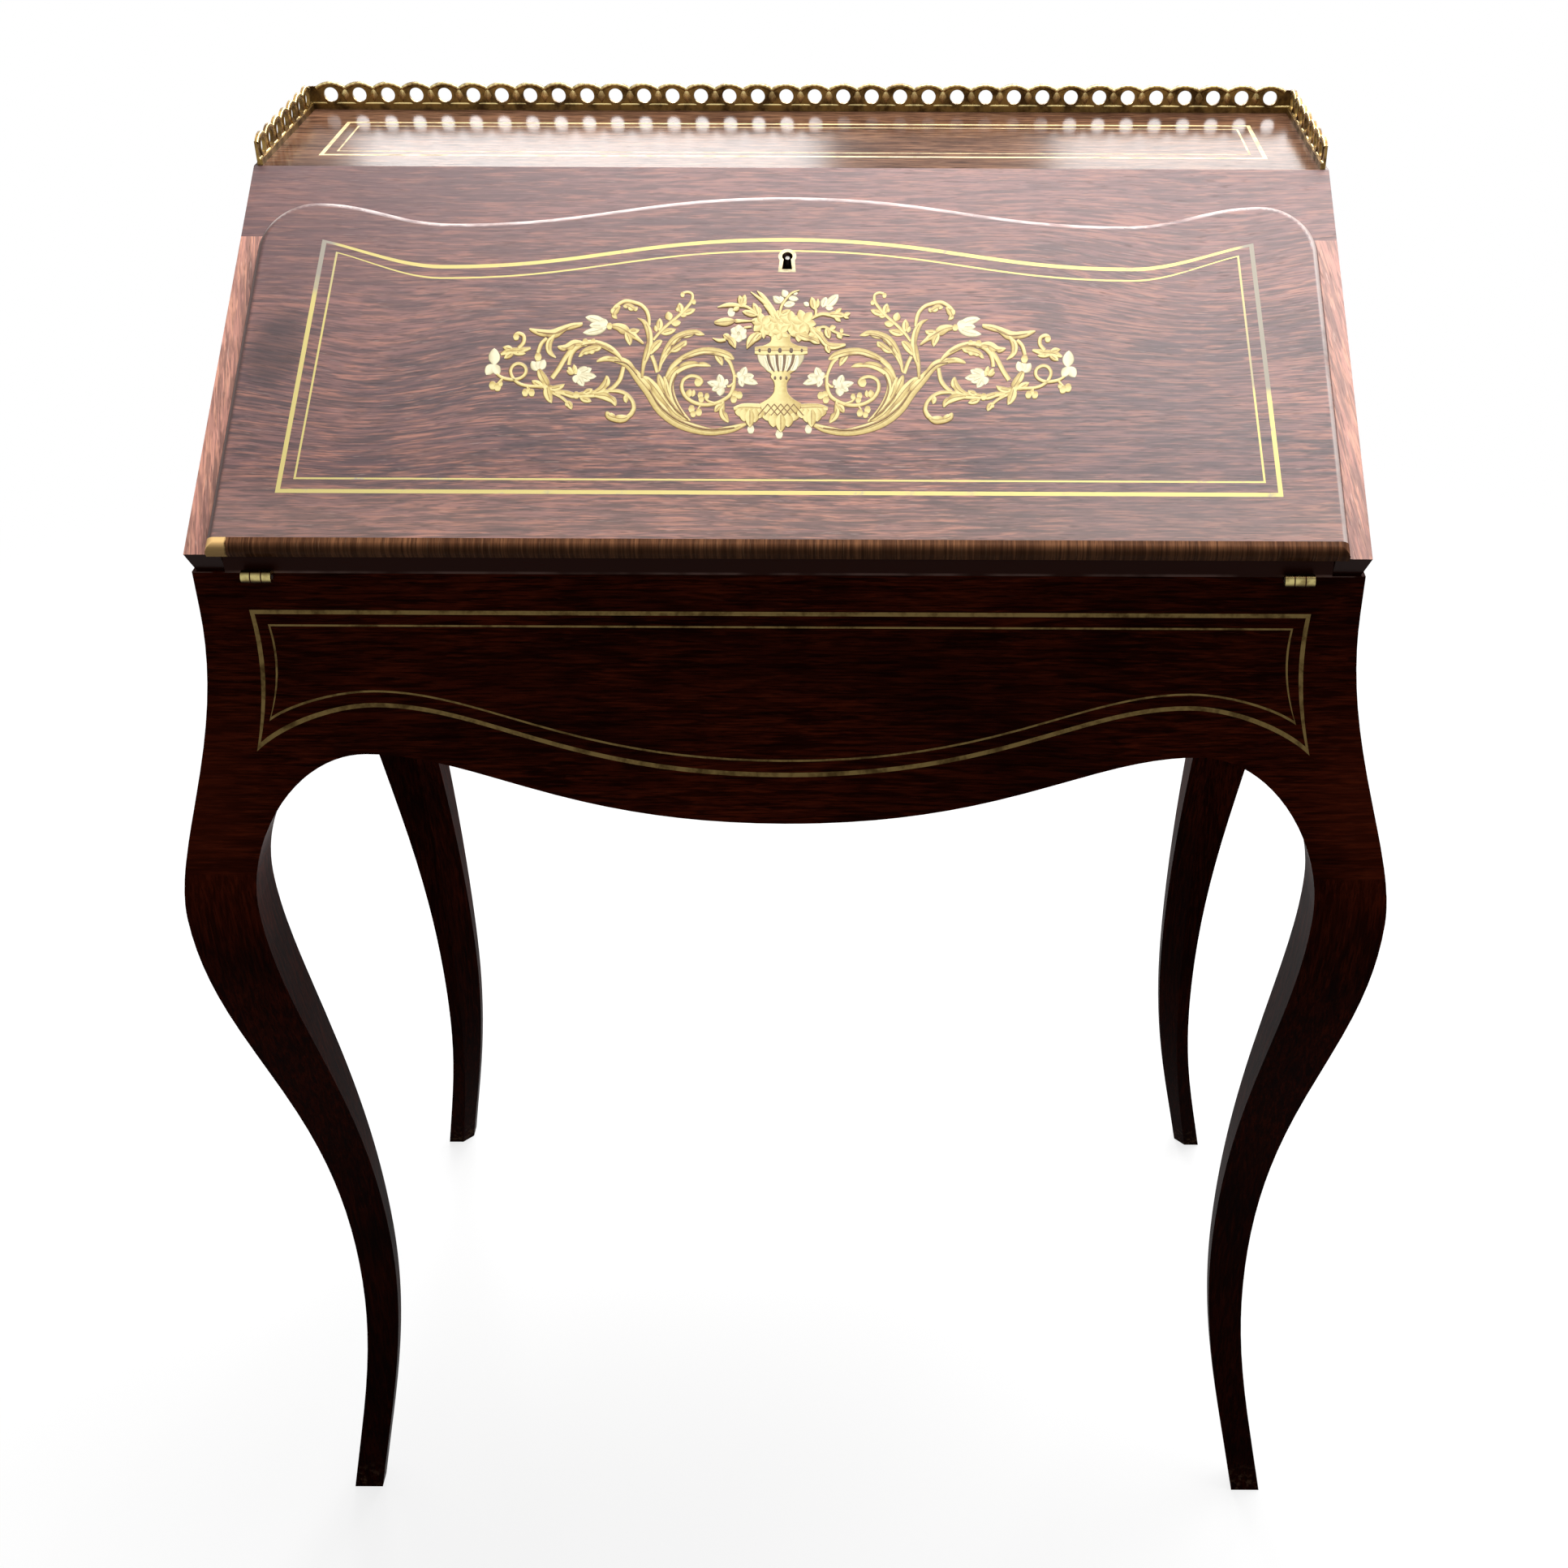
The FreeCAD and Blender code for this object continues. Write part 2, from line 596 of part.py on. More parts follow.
def drawer_knob(seat):
    """Turned brass knob: pin, collar, neck and ball-shaped head."""
    tip = Vector(0, 0, KNOB_REACH)
    widest = Vector(KNOB_RADIUS, 0, KNOB_REACH - KNOB_RADIUS)
    neck_high = Vector(KNOB_NECK, 0, KNOB_REACH - 2 * KNOB_RADIUS + KNOB_NECK)
    neck_low = Vector(KNOB_NECK, 0, KNOB_PIN)
    collar = Vector(KNOB_NECK + KNOB_PIN, 0, 0)
    pin_seat = Vector(KNOB_PIN, 0, 0)
    pin_end = Vector(KNOB_PIN, 0, -DRAWER_FRONT)
    bulge = KNOB_RADIUS * CORNER_SHARE
    head = bezier(tip, tip + X_AXIS * bulge, widest + Z_AXIS * bulge, widest)
    under = bezier(widest, widest - Z_AXIS * bulge, neck_high)
    pin_middle = Vector(0, 0, -DRAWER_FRONT)
    edges = [head, under] + lines(neck_high, neck_low, collar, pin_seat, pin_end, pin_middle, tip)
    solid = face_of(edges).revolve(ORIGIN, Z_AXIS, math.degrees(2 * math.pi))
    solid.Placement = Placement(seat, Rotation(Z_AXIS, -Y_AXIS))
    return solid


# Flap, drawn on the slope: X across, Y up the slope, Z outwards

def flat_point(across, up):
    """A point of the slanted front's own plane."""
    return Vector(across, up, 0)


def lip_face():
    """Outline of the flap with its serpentine top."""
    wide = INSIDE + LIP_OVERLAP
    low = flat_point(wide, -LIP_FALL)
    corner = flat_point(wide, HUMP_REACH - CORNER_FALL)
    hump = flat_point(INSIDE - HUMP_INSET, HUMP_REACH)
    valley = flat_point(INSIDE - VALLEY_INSET, FASCIA_START + VALLEY_LAP)
    crest = flat_point(0, FASCIA_START + CREST_LAP)
    turn = bezier(corner, corner + Y_AXIS * CORNER_FALL * CORNER_SHARE,
                  hump + X_AXIS * (wide - hump.x) * CORNER_SHARE, hump)
    half = lines(low, corner) + [turn, s_curve(hump, valley, HUMP_SHARES, X_AXIS),
                                 s_curve(valley, crest, CREST_SHARES, X_AXIS)]
    return face_of(half + [mirrored(edge) for edge in half] + lines(flat_point(-wide, -LIP_FALL), low))


def raised_lip():
    """Overlapping outer part of the flap with a rounded edge."""
    slab = lip_face().extrude(Vector(0, 0, LIP_THICKNESS - LIP_GAP))
    slab.translate(Vector(0, 0, LIP_GAP))
    rim = [edge for edge in slab.Edges if edge.BoundBox.ZMin > LIP_THICKNESS - LIP_GAP]
    return slab.makeFillet(LIP_ROUND, rim)


def flap_blank():
    """Flap board with its rebated body, resting level at the foot."""
    lip = on_slope(raised_lip())
    body = on_slope(block((-FLAP_BODY_SPREAD, FLAP_BODY_SPREAD), (-SLOPE_LENGTH, FLAP_BODY_REACH),
                          (-BODY_THICKNESS, LIP_GAP)))
    below = block((-CASE_WIDTH, CASE_WIDTH), (-2 * CASE_DEPTH, CASE_DEPTH), (0, FLAP_BOTTOM))
    ahead = block((-CASE_WIDTH, CASE_WIDTH), (-2 * CASE_DEPTH, FRONT), (0, TOP_HEIGHT))
    return lip.fuse(cut_all(body, [below, ahead])).removeSplitter()


def flap_line(inset):
    """Outline of a brass line on the flap, a distance inside the outermost one."""
    low = flat_point(INSIDE - FLAP_LINE_LOW_INSET - inset, FLAP_LINE_BOTTOM + inset)
    corner = flat_point(INSIDE - FLAP_LINE_TOP_INSET - inset, FASCIA_START - FLAP_LINE_CORNER_DROP - inset)
    valley = flat_point(INSIDE - FLAP_LINE_VALLEY_INSET, FASCIA_START - FLAP_LINE_VALLEY_DROP - inset)
    crest = flat_point(0, FASCIA_START - FLAP_LINE_CREST_DROP - inset)
    fall = (valley - corner) * FLAP_LINE_SHARES[0]
    level = X_AXIS * (corner.x - valley.x) * FLAP_LINE_SHARES[1]
    half = lines(low, corner) + [bezier(corner, corner + fall, valley + level, valley),
                                 s_curve(valley, crest, CREST_SHARES, X_AXIS)]
    closing = lines(flat_point(-low.x, low.y), low)
    return face_of(half + [mirrored(edge) for edge in half] + closing)


def double_line(outline):
    """Wide outer band and fine inner band between insets of one outline."""
    wide = outline(0).cut(outline(WIDE_LINE))
    fine_inset = LINE_SPACING
    fine = outline(fine_inset).cut(outline(fine_inset + FINE_LINE))
    return [wide, fine]


def flap_stringing():
    """Brass lines of the flap."""
    bands = []
    for band in double_line(flap_line):
        solid = band.extrude(Vector(0, 0, INLAY_DEPTH))
        solid.translate(Vector(0, 0, LIP_THICKNESS - INLAY_DEPTH))
        bands.append(on_slope(solid))
    return bands


def leather_panel():
    """Writing surface let into the inner face of the flap."""
    half = FLAP_BODY_SPREAD - LEATHER_MARGIN
    return on_slope(block((-half, half), (LEATHER_BOTTOM, FASCIA_START - LEATHER_TOP_DROP),
                          (-BODY_THICKNESS, -BODY_THICKNESS + LEATHER_THICKNESS)))


# Brass lines of the apron and the top

def apron_line(inset):
    """Outline of a brass line on the front apron, in the front view."""
    top = FRAME_HEIGHT - APRON_LINE_DROP - inset
    high = Vector(HALF_WIDTH - APRON_LINE_TOP_INSET - inset, 0, top)
    corner = Vector(HALF_WIDTH - APRON_LINE_LOW_INSET - inset, 0,
                    FRAME_HEIGHT - APRON_LINE_CORNER_DROP + 2 * inset)
    hump = Vector(HALF_WIDTH - APRON_LINE_HUMP_INSET, 0, FRAME_HEIGHT - APRON_LINE_HUMP_DROP + inset)
    middle = Vector(0, 0, FRAME_HEIGHT - APRON_LINE_CENTRE_DROP + inset)
    bow = Vector(high.x - APRON_LINE_BOW, 0, (high.z + corner.z) / 2)
    to_hump = hump - corner
    rise = X_AXIS * to_hump.x * APRON_CORNER_SHARES[0] + Z_AXIS * to_hump.z * APRON_CORNER_SHARES[1]
    level = X_AXIS * -to_hump.x * APRON_HUMP_SHARE
    half = [bezier(high, bow, corner), bezier(corner, corner + rise, hump + level, hump),
            s_curve(hump, middle, ARCH_SHARES[::-1], X_AXIS)]
    return face_of(half + [mirrored(edge) for edge in half] + lines(Vector(-high.x, 0, top), high))


def apron_stringing():
    """Brass lines bent to the curve of the front apron and posts."""
    skin = apron_section(CASE_WIDTH, HALF_DEPTH, RAIL_INSIDE)
    core = skin.translated(Vector(0, -INLAY_DEPTH, 0))
    reach = HALF_DEPTH + KNEE_FLARE + OVERRUN
    bands = []
    for band in double_line(apron_line):
        bands.append(band.extrude(Vector(0, reach, 0)).common(skin).cut(core).mirror(ORIGIN, Y_AXIS))
    return bands


def top_line(inset):
    """Outline of a brass line on the top board."""
    x = HALF_WIDTH - TOP_LINE_SIDE - inset
    front = HALF_DEPTH - TOP_DEPTH + TOP_LINE_FRONT + inset
    back = HALF_DEPTH - TOP_LINE_BACK - inset
    low = TOP_HEIGHT - INLAY_DEPTH
    return face_of(lines(Vector(-x, front, low), Vector(x, front, low), Vector(x, back, low),
                         Vector(-x, back, low), Vector(-x, front, low)))


def top_stringing():
    """Brass lines of the top board."""
    return [band.extrude(Vector(0, 0, INLAY_DEPTH)) for band in double_line(top_line)]


# Hinges

def barrel(x_start, x_end, radius):
    """Length of round bar on the flap's axis."""
    return rod(radius, Vector(x_start, AXIS_Y, AXIS_Z), Vector(x_end, AXIS_Y, AXIS_Z))


def hinge_parts():
    """Right hinge: leaf on the frame, leaf on the flap, pin, and the screws of each leaf."""
    left = HINGE_SPREAD - HINGE_WIDTH / 2
    right = HINGE_SPREAD + HINGE_WIDTH / 2
    middle_left = HINGE_SPREAD - MIDDLE_KNUCKLE / 2
    middle_right = HINGE_SPREAD + MIDDLE_KNUCKLE / 2
    width = (left, right)
    rear = FRONT + FRAME_INSET + LEAF_DEPTH
    plate = block(width, (AXIS_Y, rear), (FRAME_HEIGHT - LEAF_THICKNESS, FRAME_HEIGHT))
    room = barrel(middle_left - KNUCKLE_GAP, middle_right + KNUCKLE_GAP, BARREL_RADIUS + KNUCKLE_GAP)
    fixed = plate.fuse(barrel(left, right, BARREL_RADIUS)).cut(room)
    fixed = fixed.cut(barrel(left - OVERRUN, right + OVERRUN, PIN_RADIUS))

    corner = slope_point(0, 0, -BODY_THICKNESS)
    climb_start = (FLAP_BOTTOM - corner.z) / math.sin(SLOPE)
    foot_y = corner.y + climb_start * math.cos(SLOPE)
    inner_face = (-BODY_THICKNESS, -BODY_THICKNESS + LEAF_THICKNESS)
    climb = on_slope(block(width, (climb_start - LEAF_CLIMB, climb_start + LEAF_CLIMB), inner_face))
    climb = climb.cut(block(width, (-CASE_DEPTH, HALF_DEPTH), (0, FLAP_BOTTOM)))
    knuckle = (middle_left, middle_right)
    tongue = block(knuckle, (AXIS_Y, FRONT), (FLAP_BOTTOM, FLAP_BOTTOM + LEAF_THICKNESS))
    base = block(width, (FRONT, foot_y), (FLAP_BOTTOM, FLAP_BOTTOM + LEAF_THICKNESS))
    moving = climb.fuse([base, tongue, barrel(middle_left, middle_right, BARREL_RADIUS)])
    moving = moving.cut(barrel(left, right, PIN_RADIUS + PIN_FIT)).removeSplitter()

    frame_screws = []
    flap_screws = []
    for share in LEAF_SCREW_SHARES:
        on_plate = Vector(HINGE_SPREAD, FRONT + FRAME_INSET + share * LEAF_DEPTH, FRAME_HEIGHT)
        frame_screws.append(screw(on_plate, -Z_AXIS, SCREW_LENGTH))
        up_leaf = slope_point(HINGE_SPREAD, climb_start + share * LEAF_CLIMB, -BODY_THICKNESS)
        flap_screws.append(screw(up_leaf, slope_point(0, 0, 1) - slope_point(0, 0, 0), SCREW_LENGTH))
    return {"fixed": cut_all(fixed, frame_screws), "moving": cut_all(moving, flap_screws),
            "pin": barrel(left, right, PIN_RADIUS), "frame_screws": frame_screws, "flap_screws": flap_screws}


# Stays: the pivot on the flap and the stud on the side lie on one circle about the hinge axis,
# so the stay turns through exactly half the angle of the flap.

def inner_face_offset():
    """Distance from the hinge axis to the plane of the flap's inner face."""
    to_slope = slope_point(0, 0, -BODY_THICKNESS) - Vector(0, AXIS_Y, AXIS_Z)
    outwards = slope_point(0, 0, 1) - slope_point(0, 0, 0)
    return -to_slope.dot(outwards)


PIVOT_ANGLE = SLOPE - math.asin((inner_face_offset() + STAY_DROP) / STAY_RADIUS)
STUD_ANGLE = PIVOT_ANGLE - 2 * math.asin(STAY_CHORD / 2 / STAY_RADIUS)
STAY_ANGLE = (PIVOT_ANGLE + STUD_ANGLE) / 2 - math.pi / 2
STAY_REACH = 2 * STAY_RADIUS * math.sin((PIVOT_ANGLE + FLAP_SWING - STUD_ANGLE) / 2)


def about_axis(x, angle):
    """A point on the stay circle."""
    return Vector(x, AXIS_Y + STAY_RADIUS * math.cos(angle), AXIS_Z + STAY_RADIUS * math.sin(angle))


def round_ended(width, start, end):
    """Flat bar with round ends along X, in the middle of Z."""
    low = -STAY_THICKNESS / 2
    bar = block((start, end), (-width / 2, width / 2), (low, low + STAY_THICKNESS))
    for x in (start, end):
        bar = bar.fuse(Part.makeCylinder(width / 2, STAY_THICKNESS, Vector(x, 0, low)))
    return bar.removeSplitter()


def stay():
    """Slotted brass stay of the right side, folded down inside the case."""
    bar = round_ended(STAY_WIDTH, 0, STAY_REACH)
    slot = round_ended(2 * (STUD_RADIUS + SLOT_CLEARANCE), STAY_CHORD, STAY_REACH)
    eye = Part.makeCylinder(STUD_RADIUS + PIN_FIT, STAY_THICKNESS, Vector(0, 0, -STAY_THICKNESS / 2))
    bar = bar.cut(slot).cut(eye)
    run = Vector(0, math.cos(STAY_ANGLE), math.sin(STAY_ANGLE))
    turn = Rotation(run, X_AXIS.cross(run), X_AXIS, "XYZ")
    bar.Placement = Placement(about_axis(STAY_PLANE, PIVOT_ANGLE), turn)
    return bar


def stay_stud():
    """Headed stud in the case side that runs in the stay's slot."""
    inner = STAY_PLANE - STAY_THICKNESS / 2 - EAR_GAP
    shank = rod(STUD_RADIUS, about_axis(INSIDE + STUD_SINK, STUD_ANGLE), about_axis(inner, STUD_ANGLE))
    head = rod(STUD_HEAD, about_axis(inner, STUD_ANGLE), about_axis(inner - STUD_HEAD_LENGTH, STUD_ANGLE))
    return shank.fuse(head)


def stay_bracket():
    """Angle on the flap's inner face with the rivet that carries the stay."""
    ear_outer = STAY_PLANE - STAY_THICKNESS / 2 - EAR_GAP
    ear_inner = ear_outer - EAR_THICKNESS
    pivot = about_axis(STAY_PLANE, PIVOT_ANGLE)
    up_slope = slope_point(0, 1, 0) - slope_point(0, 0, 0)
    pivot_up = (pivot - slope_point(pivot.x, 0, 0)).dot(up_slope)
    face = -BODY_THICKNESS
    plate = block((ear_outer - BRACKET_WIDTH, ear_outer),
                  (pivot_up - BRACKET_LENGTH / 2, pivot_up + BRACKET_LENGTH / 2),
                  (face - EAR_THICKNESS, face))
    ear = block((ear_inner, ear_outer), (pivot_up - STAY_WIDTH / 2, pivot_up + STAY_WIDTH / 2),
                (face - STAY_DROP, face))
    boss = Part.makeCylinder(STAY_WIDTH / 2, EAR_THICKNESS,
                             Vector(ear_inner, pivot_up, face - STAY_DROP), X_AXIS)
    rivet = rod(STUD_RADIUS, Vector(ear_inner, pivot_up, face - STAY_DROP),
                Vector(STAY_PLANE + STAY_THICKNESS / 2 + EAR_GAP, pivot_up, face - STAY_DROP))
    shape = on_slope(plate.fuse([ear, boss, rivet]).removeSplitter())
    screws = []
    for end in (-1, 1):
        seat = slope_point(ear_inner - BRACKET_WIDTH / 2 + EAR_THICKNESS / 2,
                           pivot_up + end * BRACKET_SCREW_SHARE * BRACKET_LENGTH, face - EAR_THICKNESS)
        screws.append(screw(seat, slope_point(0, 0, 1) - slope_point(0, 0, 0), BRACKET_SCREW_LENGTH))
    return cut_all(shape, screws), screws


# Lock

def keyhole_prism(border, low, high):
    """Keyhole outline, grown by a border, between two depths."""
    foot = KEY_REACH - KEY_SKIRT_LENGTH - border
    neck_half = KEY_NECK_WIDTH / 2 + border
    foot_half = KEY_SKIRT_WIDTH / 2 + border
    eye = Part.makeCylinder(KEY_RADIUS + border, high - low, Vector(0, KEY_REACH, low))
    corners = [(-neck_half, KEY_REACH), (-foot_half, foot), (foot_half, foot), (neck_half, KEY_REACH),
               (-neck_half, KEY_REACH)]
    skirt = face_of(lines(*[Vector(x, y, low) for x, y in corners])).extrude(Z_AXIS * (high - low))
    return eye.fuse(skirt).removeSplitter()


def lock_parts():
    """Lock case with its key pin, the bolt, the escutcheon and the strike."""
    back = -BODY_THICKNESS
    front = back + LOCK_THICKNESS
    half = LOCK_WIDTH / 2
    low = FLAP_BODY_REACH - LOCK_HEIGHT
    case = block((-half, half), (low, FLAP_BODY_REACH), (back, front))
    bolt_half = BOLT_WIDTH / 2
    bolt_deep = (back + LOCK_WALL + BOLT_FIT, front - LOCK_WALL - BOLT_FIT)
    bolt = block((-bolt_half, bolt_half), (FLAP_BODY_REACH - BOLT_LENGTH, FLAP_BODY_REACH), bolt_deep)
    channel = block((-bolt_half - BOLT_FIT, bolt_half + BOLT_FIT),
                    (FLAP_BODY_REACH - BOLT_LENGTH - BOLT_FIT, FLAP_BODY_REACH + OVERRUN),
                    (back + LOCK_WALL, front - LOCK_WALL))
    keyway = keyhole_prism(0, back + LOCK_WALL, LIP_THICKNESS)
    notch = keyhole_prism(BOLT_FIT, back, LIP_THICKNESS)
    travel = notch.copy()
    travel.translate(Vector(0, -BOLT_THROW, 0))
    bolt = bolt.cut(notch.fuse(travel))
    pin_end = Vector(0, KEY_REACH, LIP_THICKNESS - KEY_PIN_SINK)
    key_pin = rod(KEY_PIN_RADIUS, Vector(0, KEY_REACH, back), pin_end)
    case = case.cut(channel).cut(keyway).fuse(key_pin).removeSplitter()
    plate = keyhole_prism(ESCUTCHEON_BORDER, LIP_THICKNESS - INLAY_DEPTH, LIP_THICKNESS)
    escutcheon = plate.cut(keyhole_prism(0, 0, LIP_THICKNESS))
    recess = block((-half, half), (low, FLAP_BODY_REACH + OVERRUN), (back, front))
    opening = keyhole_prism(0, 0, LIP_THICKNESS).fuse(keyhole_prism(0, front, LIP_GAP))

    strike_half = STRIKE_LENGTH / 2
    middle = (bolt_deep[0] + bolt_deep[1]) / 2
    strike_deep = (middle - STRIKE_WIDTH / 2, middle + STRIKE_WIDTH / 2)
    strike = block((-strike_half, strike_half), (FASCIA_START, FASCIA_START + STRIKE_THICKNESS), strike_deep)
    pocket = block((-bolt_half - STRIKE_FIT, bolt_half + STRIKE_FIT),
                   (FASCIA_START, FASCIA_START + BOLT_THROW + STRIKE_FIT),
                   (bolt_deep[0] - STRIKE_FIT, bolt_deep[1] + STRIKE_FIT))
    screws = []
    outwards = slope_point(0, 0, 1) - slope_point(0, 0, 0)
    for side in (-1, 1):
        seat = slope_point(side * LOCK_SCREW_SHARE * LOCK_WIDTH, low + LOCK_HEIGHT / 2, back)
        screws.append(screw(seat, outwards, LOCK_THICKNESS + LOCK_SCREW_LENGTH / 2))
    placed = {"case": case, "bolt": bolt, "escutcheon": escutcheon, "recess": recess, "opening": opening,
              "strike": strike.cut(pocket), "strike_seat": strike, "pocket": pocket, "plate": plate}
    placed = {name: on_slope(shape) for name, shape in placed.items()}
    placed["case"] = cut_all(placed["case"], screws)
    placed["screws"] = screws
    return placed


# Gallery

def gallery_length(length, rings, end):
    """Pierced brass strip along X from the origin: base rail, scalloped plate, a rim round each hole."""
    pitch = (length - 2 * end) / rings
    first = Vector(end, 0, GALLERY_VALLEY)
    last = Vector(length - end, 0, GALLERY_VALLEY)
    edges = lines(first, Vector(0, 0, GALLERY_VALLEY), ORIGIN, Vector(length, 0, 0),
                  Vector(length, 0, GALLERY_VALLEY), last)
    holes = []
    rims = []
    for index in range(rings):
        valley = first + X_AXIS * index * pitch
        crest = Vector(valley.x + pitch / 2, 0, GALLERY_CREST)
        edges.append(Part.Arc(valley, crest, valley + X_AXIS * pitch).toShape())
        centre = Vector(crest.x, 0, RING_HEIGHT)
        holes.append(Part.makeCylinder(RING_HOLE_RADIUS, GALLERY_RAIL_THICKNESS, centre, Y_AXIS))
        rims.append(Part.makeCylinder(RING_HOLE_RADIUS + RING_BORDER, GALLERY_THICKNESS + RING_RELIEF,
                                      centre, Y_AXIS))
    plate = face_of(edges).extrude(Y_AXIS * GALLERY_THICKNESS)
    rail = block((0, length), (0, GALLERY_RAIL_THICKNESS), (0, GALLERY_RAIL_HEIGHT))
    return plate.multiFuse([rail] + rims).cut(Part.makeCompound(holes)).removeSplitter()


def gallery_pin(x, y):
    """Pin through the base rail into the top."""
    high = TOP_HEIGHT + GALLERY_RAIL_HEIGHT
    return rod(GALLERY_PIN_RADIUS, Vector(x, y, high - GALLERY_PIN_LENGTH), Vector(x, y, high))


def gallery():
    """Gallery round the back and sides of the top, and its pins."""
    edge_x = HALF_WIDTH - GALLERY_INSET
    edge_y = HALF_DEPTH - GALLERY_INSET
    back = gallery_length(2 * edge_x, GALLERY_RINGS, GALLERY_END)
    back.Placement = Placement(Vector(edge_x, edge_y, TOP_HEIGHT), Rotation(Z_AXIS, math.degrees(math.pi)))
    rear = edge_y - GALLERY_RAIL_THICKNESS
    side_run = rear - (HALF_DEPTH - TOP_DEPTH) - GALLERY_FRONT_INSET
    side = gallery_length(side_run, GALLERY_SIDE_RINGS, GALLERY_SIDE_END)
    side.translate(Vector(0, -edge_x, 0))
    side = quarter_turn(side)
    side.translate(Vector(0, rear - side_run, TOP_HEIGHT))
    pins = []
    rail_middle = GALLERY_RAIL_THICKNESS / 2
    for index in range(GALLERY_PINS_BACK):
        x = (2 * (index + 1 / 2) / GALLERY_PINS_BACK - 1) * edge_x
        pins.append(gallery_pin(x, edge_y - rail_middle))
    for index in range(GALLERY_PINS_SIDE):
        y = rear - side_run * (index + 1 / 2) / GALLERY_PINS_SIDE
        pins.extend(both(gallery_pin(edge_x - rail_middle, y)))
    return cut_all(back, pins), cut_all(side, pins), pins


def build():
    """Every piece of the desk by name."""
    pieces = {}
    hinge = hinge_parts()
    lock = lock_parts()
    bracket, bracket_screws = stay_bracket()
    stud = stay_stud()
    lines_of_apron = apron_stringing()
    lines_of_flap = [band.cut(lock["plate"]) for band in flap_stringing()]
    lines_of_top = top_stringing()
    gallery_back, gallery_right, gallery_pins = gallery()

    front_apron = apron(HALF_WIDTH, HALF_DEPTH, FRONT_DROP)
    back_apron = front_apron.copy()
    front_apron = front_apron.mirror(ORIGIN, Y_AXIS)
    side_apron = quarter_turn(apron(HALF_DEPTH, HALF_WIDTH, SIDE_DROP)).mirror(ORIGIN, X_AXIS)
    tenons = [front_apron, back_apron, side_apron]
    back_leg = cut_all(leg(), tenons)
    front_leg = cut_all(leg().mirror(ORIGIN, Y_AXIS), tenons + lines_of_apron)
    pieces["leg_front_right"] = front_leg
    pieces["leg_front_left"] = mirrored(front_leg)
    pieces["leg_back_right"] = back_leg
    pieces["leg_back_left"] = mirrored(back_leg)
    leaf_seats = both(hinge["fixed"].fuse(hinge["frame_screws"]))
    pieces["front_apron"] = cut_all(front_apron, lines_of_apron + leaf_seats)
    pieces["back_apron"] = back_apron
    pieces["side_apron_right"] = side_apron
    pieces["side_apron_left"] = mirrored(side_apron)
    for corner in ("leg_front_right", "leg_front_left"):
        pieces[corner] = cut_all(pieces[corner], leaf_seats)
    pieces["apron_stringing"] = Part.makeCompound(lines_of_apron)

    fascia = slanted_fascia()
    top = flat_top()
    shelf_board = shelf()
    side = cut_all(side_panel(), [fascia, top, shelf_board, stud])
    pieces["side_panel_right"] = side
    pieces["side_panel_left"] = mirrored(side)
    pieces["fascia_board"] = cut_all(fascia, [lock["strike_seat"], lock["pocket"]])
    pieces["top_board"] = cut_all(top, lines_of_top + gallery_pins)
    pieces["back_panel"] = back_board()
    pieces["top_stringing"] = Part.makeCompound(lines_of_top)
    pieces["gallery_back"] = gallery_back
    pieces["gallery_right"] = gallery_right
    pieces["gallery_left"] = mirrored(gallery_right)
    pieces["gallery_pins"] = Part.makeCompound(gallery_pins)
    pieces["lock_strike"] = lock["strike"]

    pieces["writing_bed"] = writing_bed()
    pieces["bed_bearers"] = Part.makeCompound(bed_bearers())
    pieces["drawer_shelf"] = shelf_board
    pieces["drawer_partitions"] = Part.makeCompound(both(partition()))
    pieces["pigeonhole_dividers"] = Part.makeCompound(both(divider()))
    for name, shape in drawer().items():
        pieces["drawer_right_" + name] = shape
        pieces["drawer_left_" + name] = mirrored(shape)

    pieces["hinge_frame_leaf_right"] = hinge["fixed"]
    pieces["hinge_frame_leaf_left"] = mirrored(hinge["fixed"])
    pieces["hinge_flap_leaf_right"] = hinge["moving"]
    pieces["hinge_flap_leaf_left"] = mirrored(hinge["moving"])
    pieces["hinge_pins"] = Part.makeCompound(both(hinge["pin"]))
    for name in ("frame_screws", "flap_screws"):
        pieces["hinge_" + name] = paired(hinge[name])

    pieces["stay_right"] = stay()
    pieces["stay_left"] = mirrored(stay())
    pieces["stay_studs"] = Part.makeCompound(both(stud))
    pieces["stay_bracket_right"] = bracket
    pieces["stay_bracket_left"] = mirrored(bracket)
    pieces["stay_bracket_screws"] = paired(bracket_screws)

    blank = flap_blank()
    nosing_cut = on_slope(block((-CASE_WIDTH, CASE_WIDTH), (-NOSING_WIDTH, NOSING_WIDTH),
                                (LIP_GAP, LIP_THICKNESS + OVERRUN)))
    leather = leather_panel()
    flap_recesses = lines_of_flap + [leather, lock["recess"], lock["opening"], lock["plate"]] + lock["screws"]
    for shape in [hinge["moving"]] + hinge["flap_screws"] + bracket_screws:
        flap_recesses.extend(both(shape))
    pieces["flap_nosing"] = blank.common(nosing_cut)
    pieces["flap_panel"] = cut_all(blank.cut(nosing_cut), flap_recesses)
    pieces["flap_stringing"] = Part.makeCompound(lines_of_flap)
    pieces["flap_leather"] = leather
    pieces["flap_escutcheon"] = lock["escutcheon"]
    pieces["lock_case"] = lock["case"]
    pieces["lock_bolt"] = lock["bolt"]
    pieces["lock_screws"] = Part.makeCompound(lock["screws"])
    return pieces


os.makedirs("parts", exist_ok=True)
for piece_name, piece_shape in build().items():
    piece_shape.exportStep("parts/" + piece_name + ".step")
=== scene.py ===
import json
import math

import bpy
from mathutils import Matrix, Vector


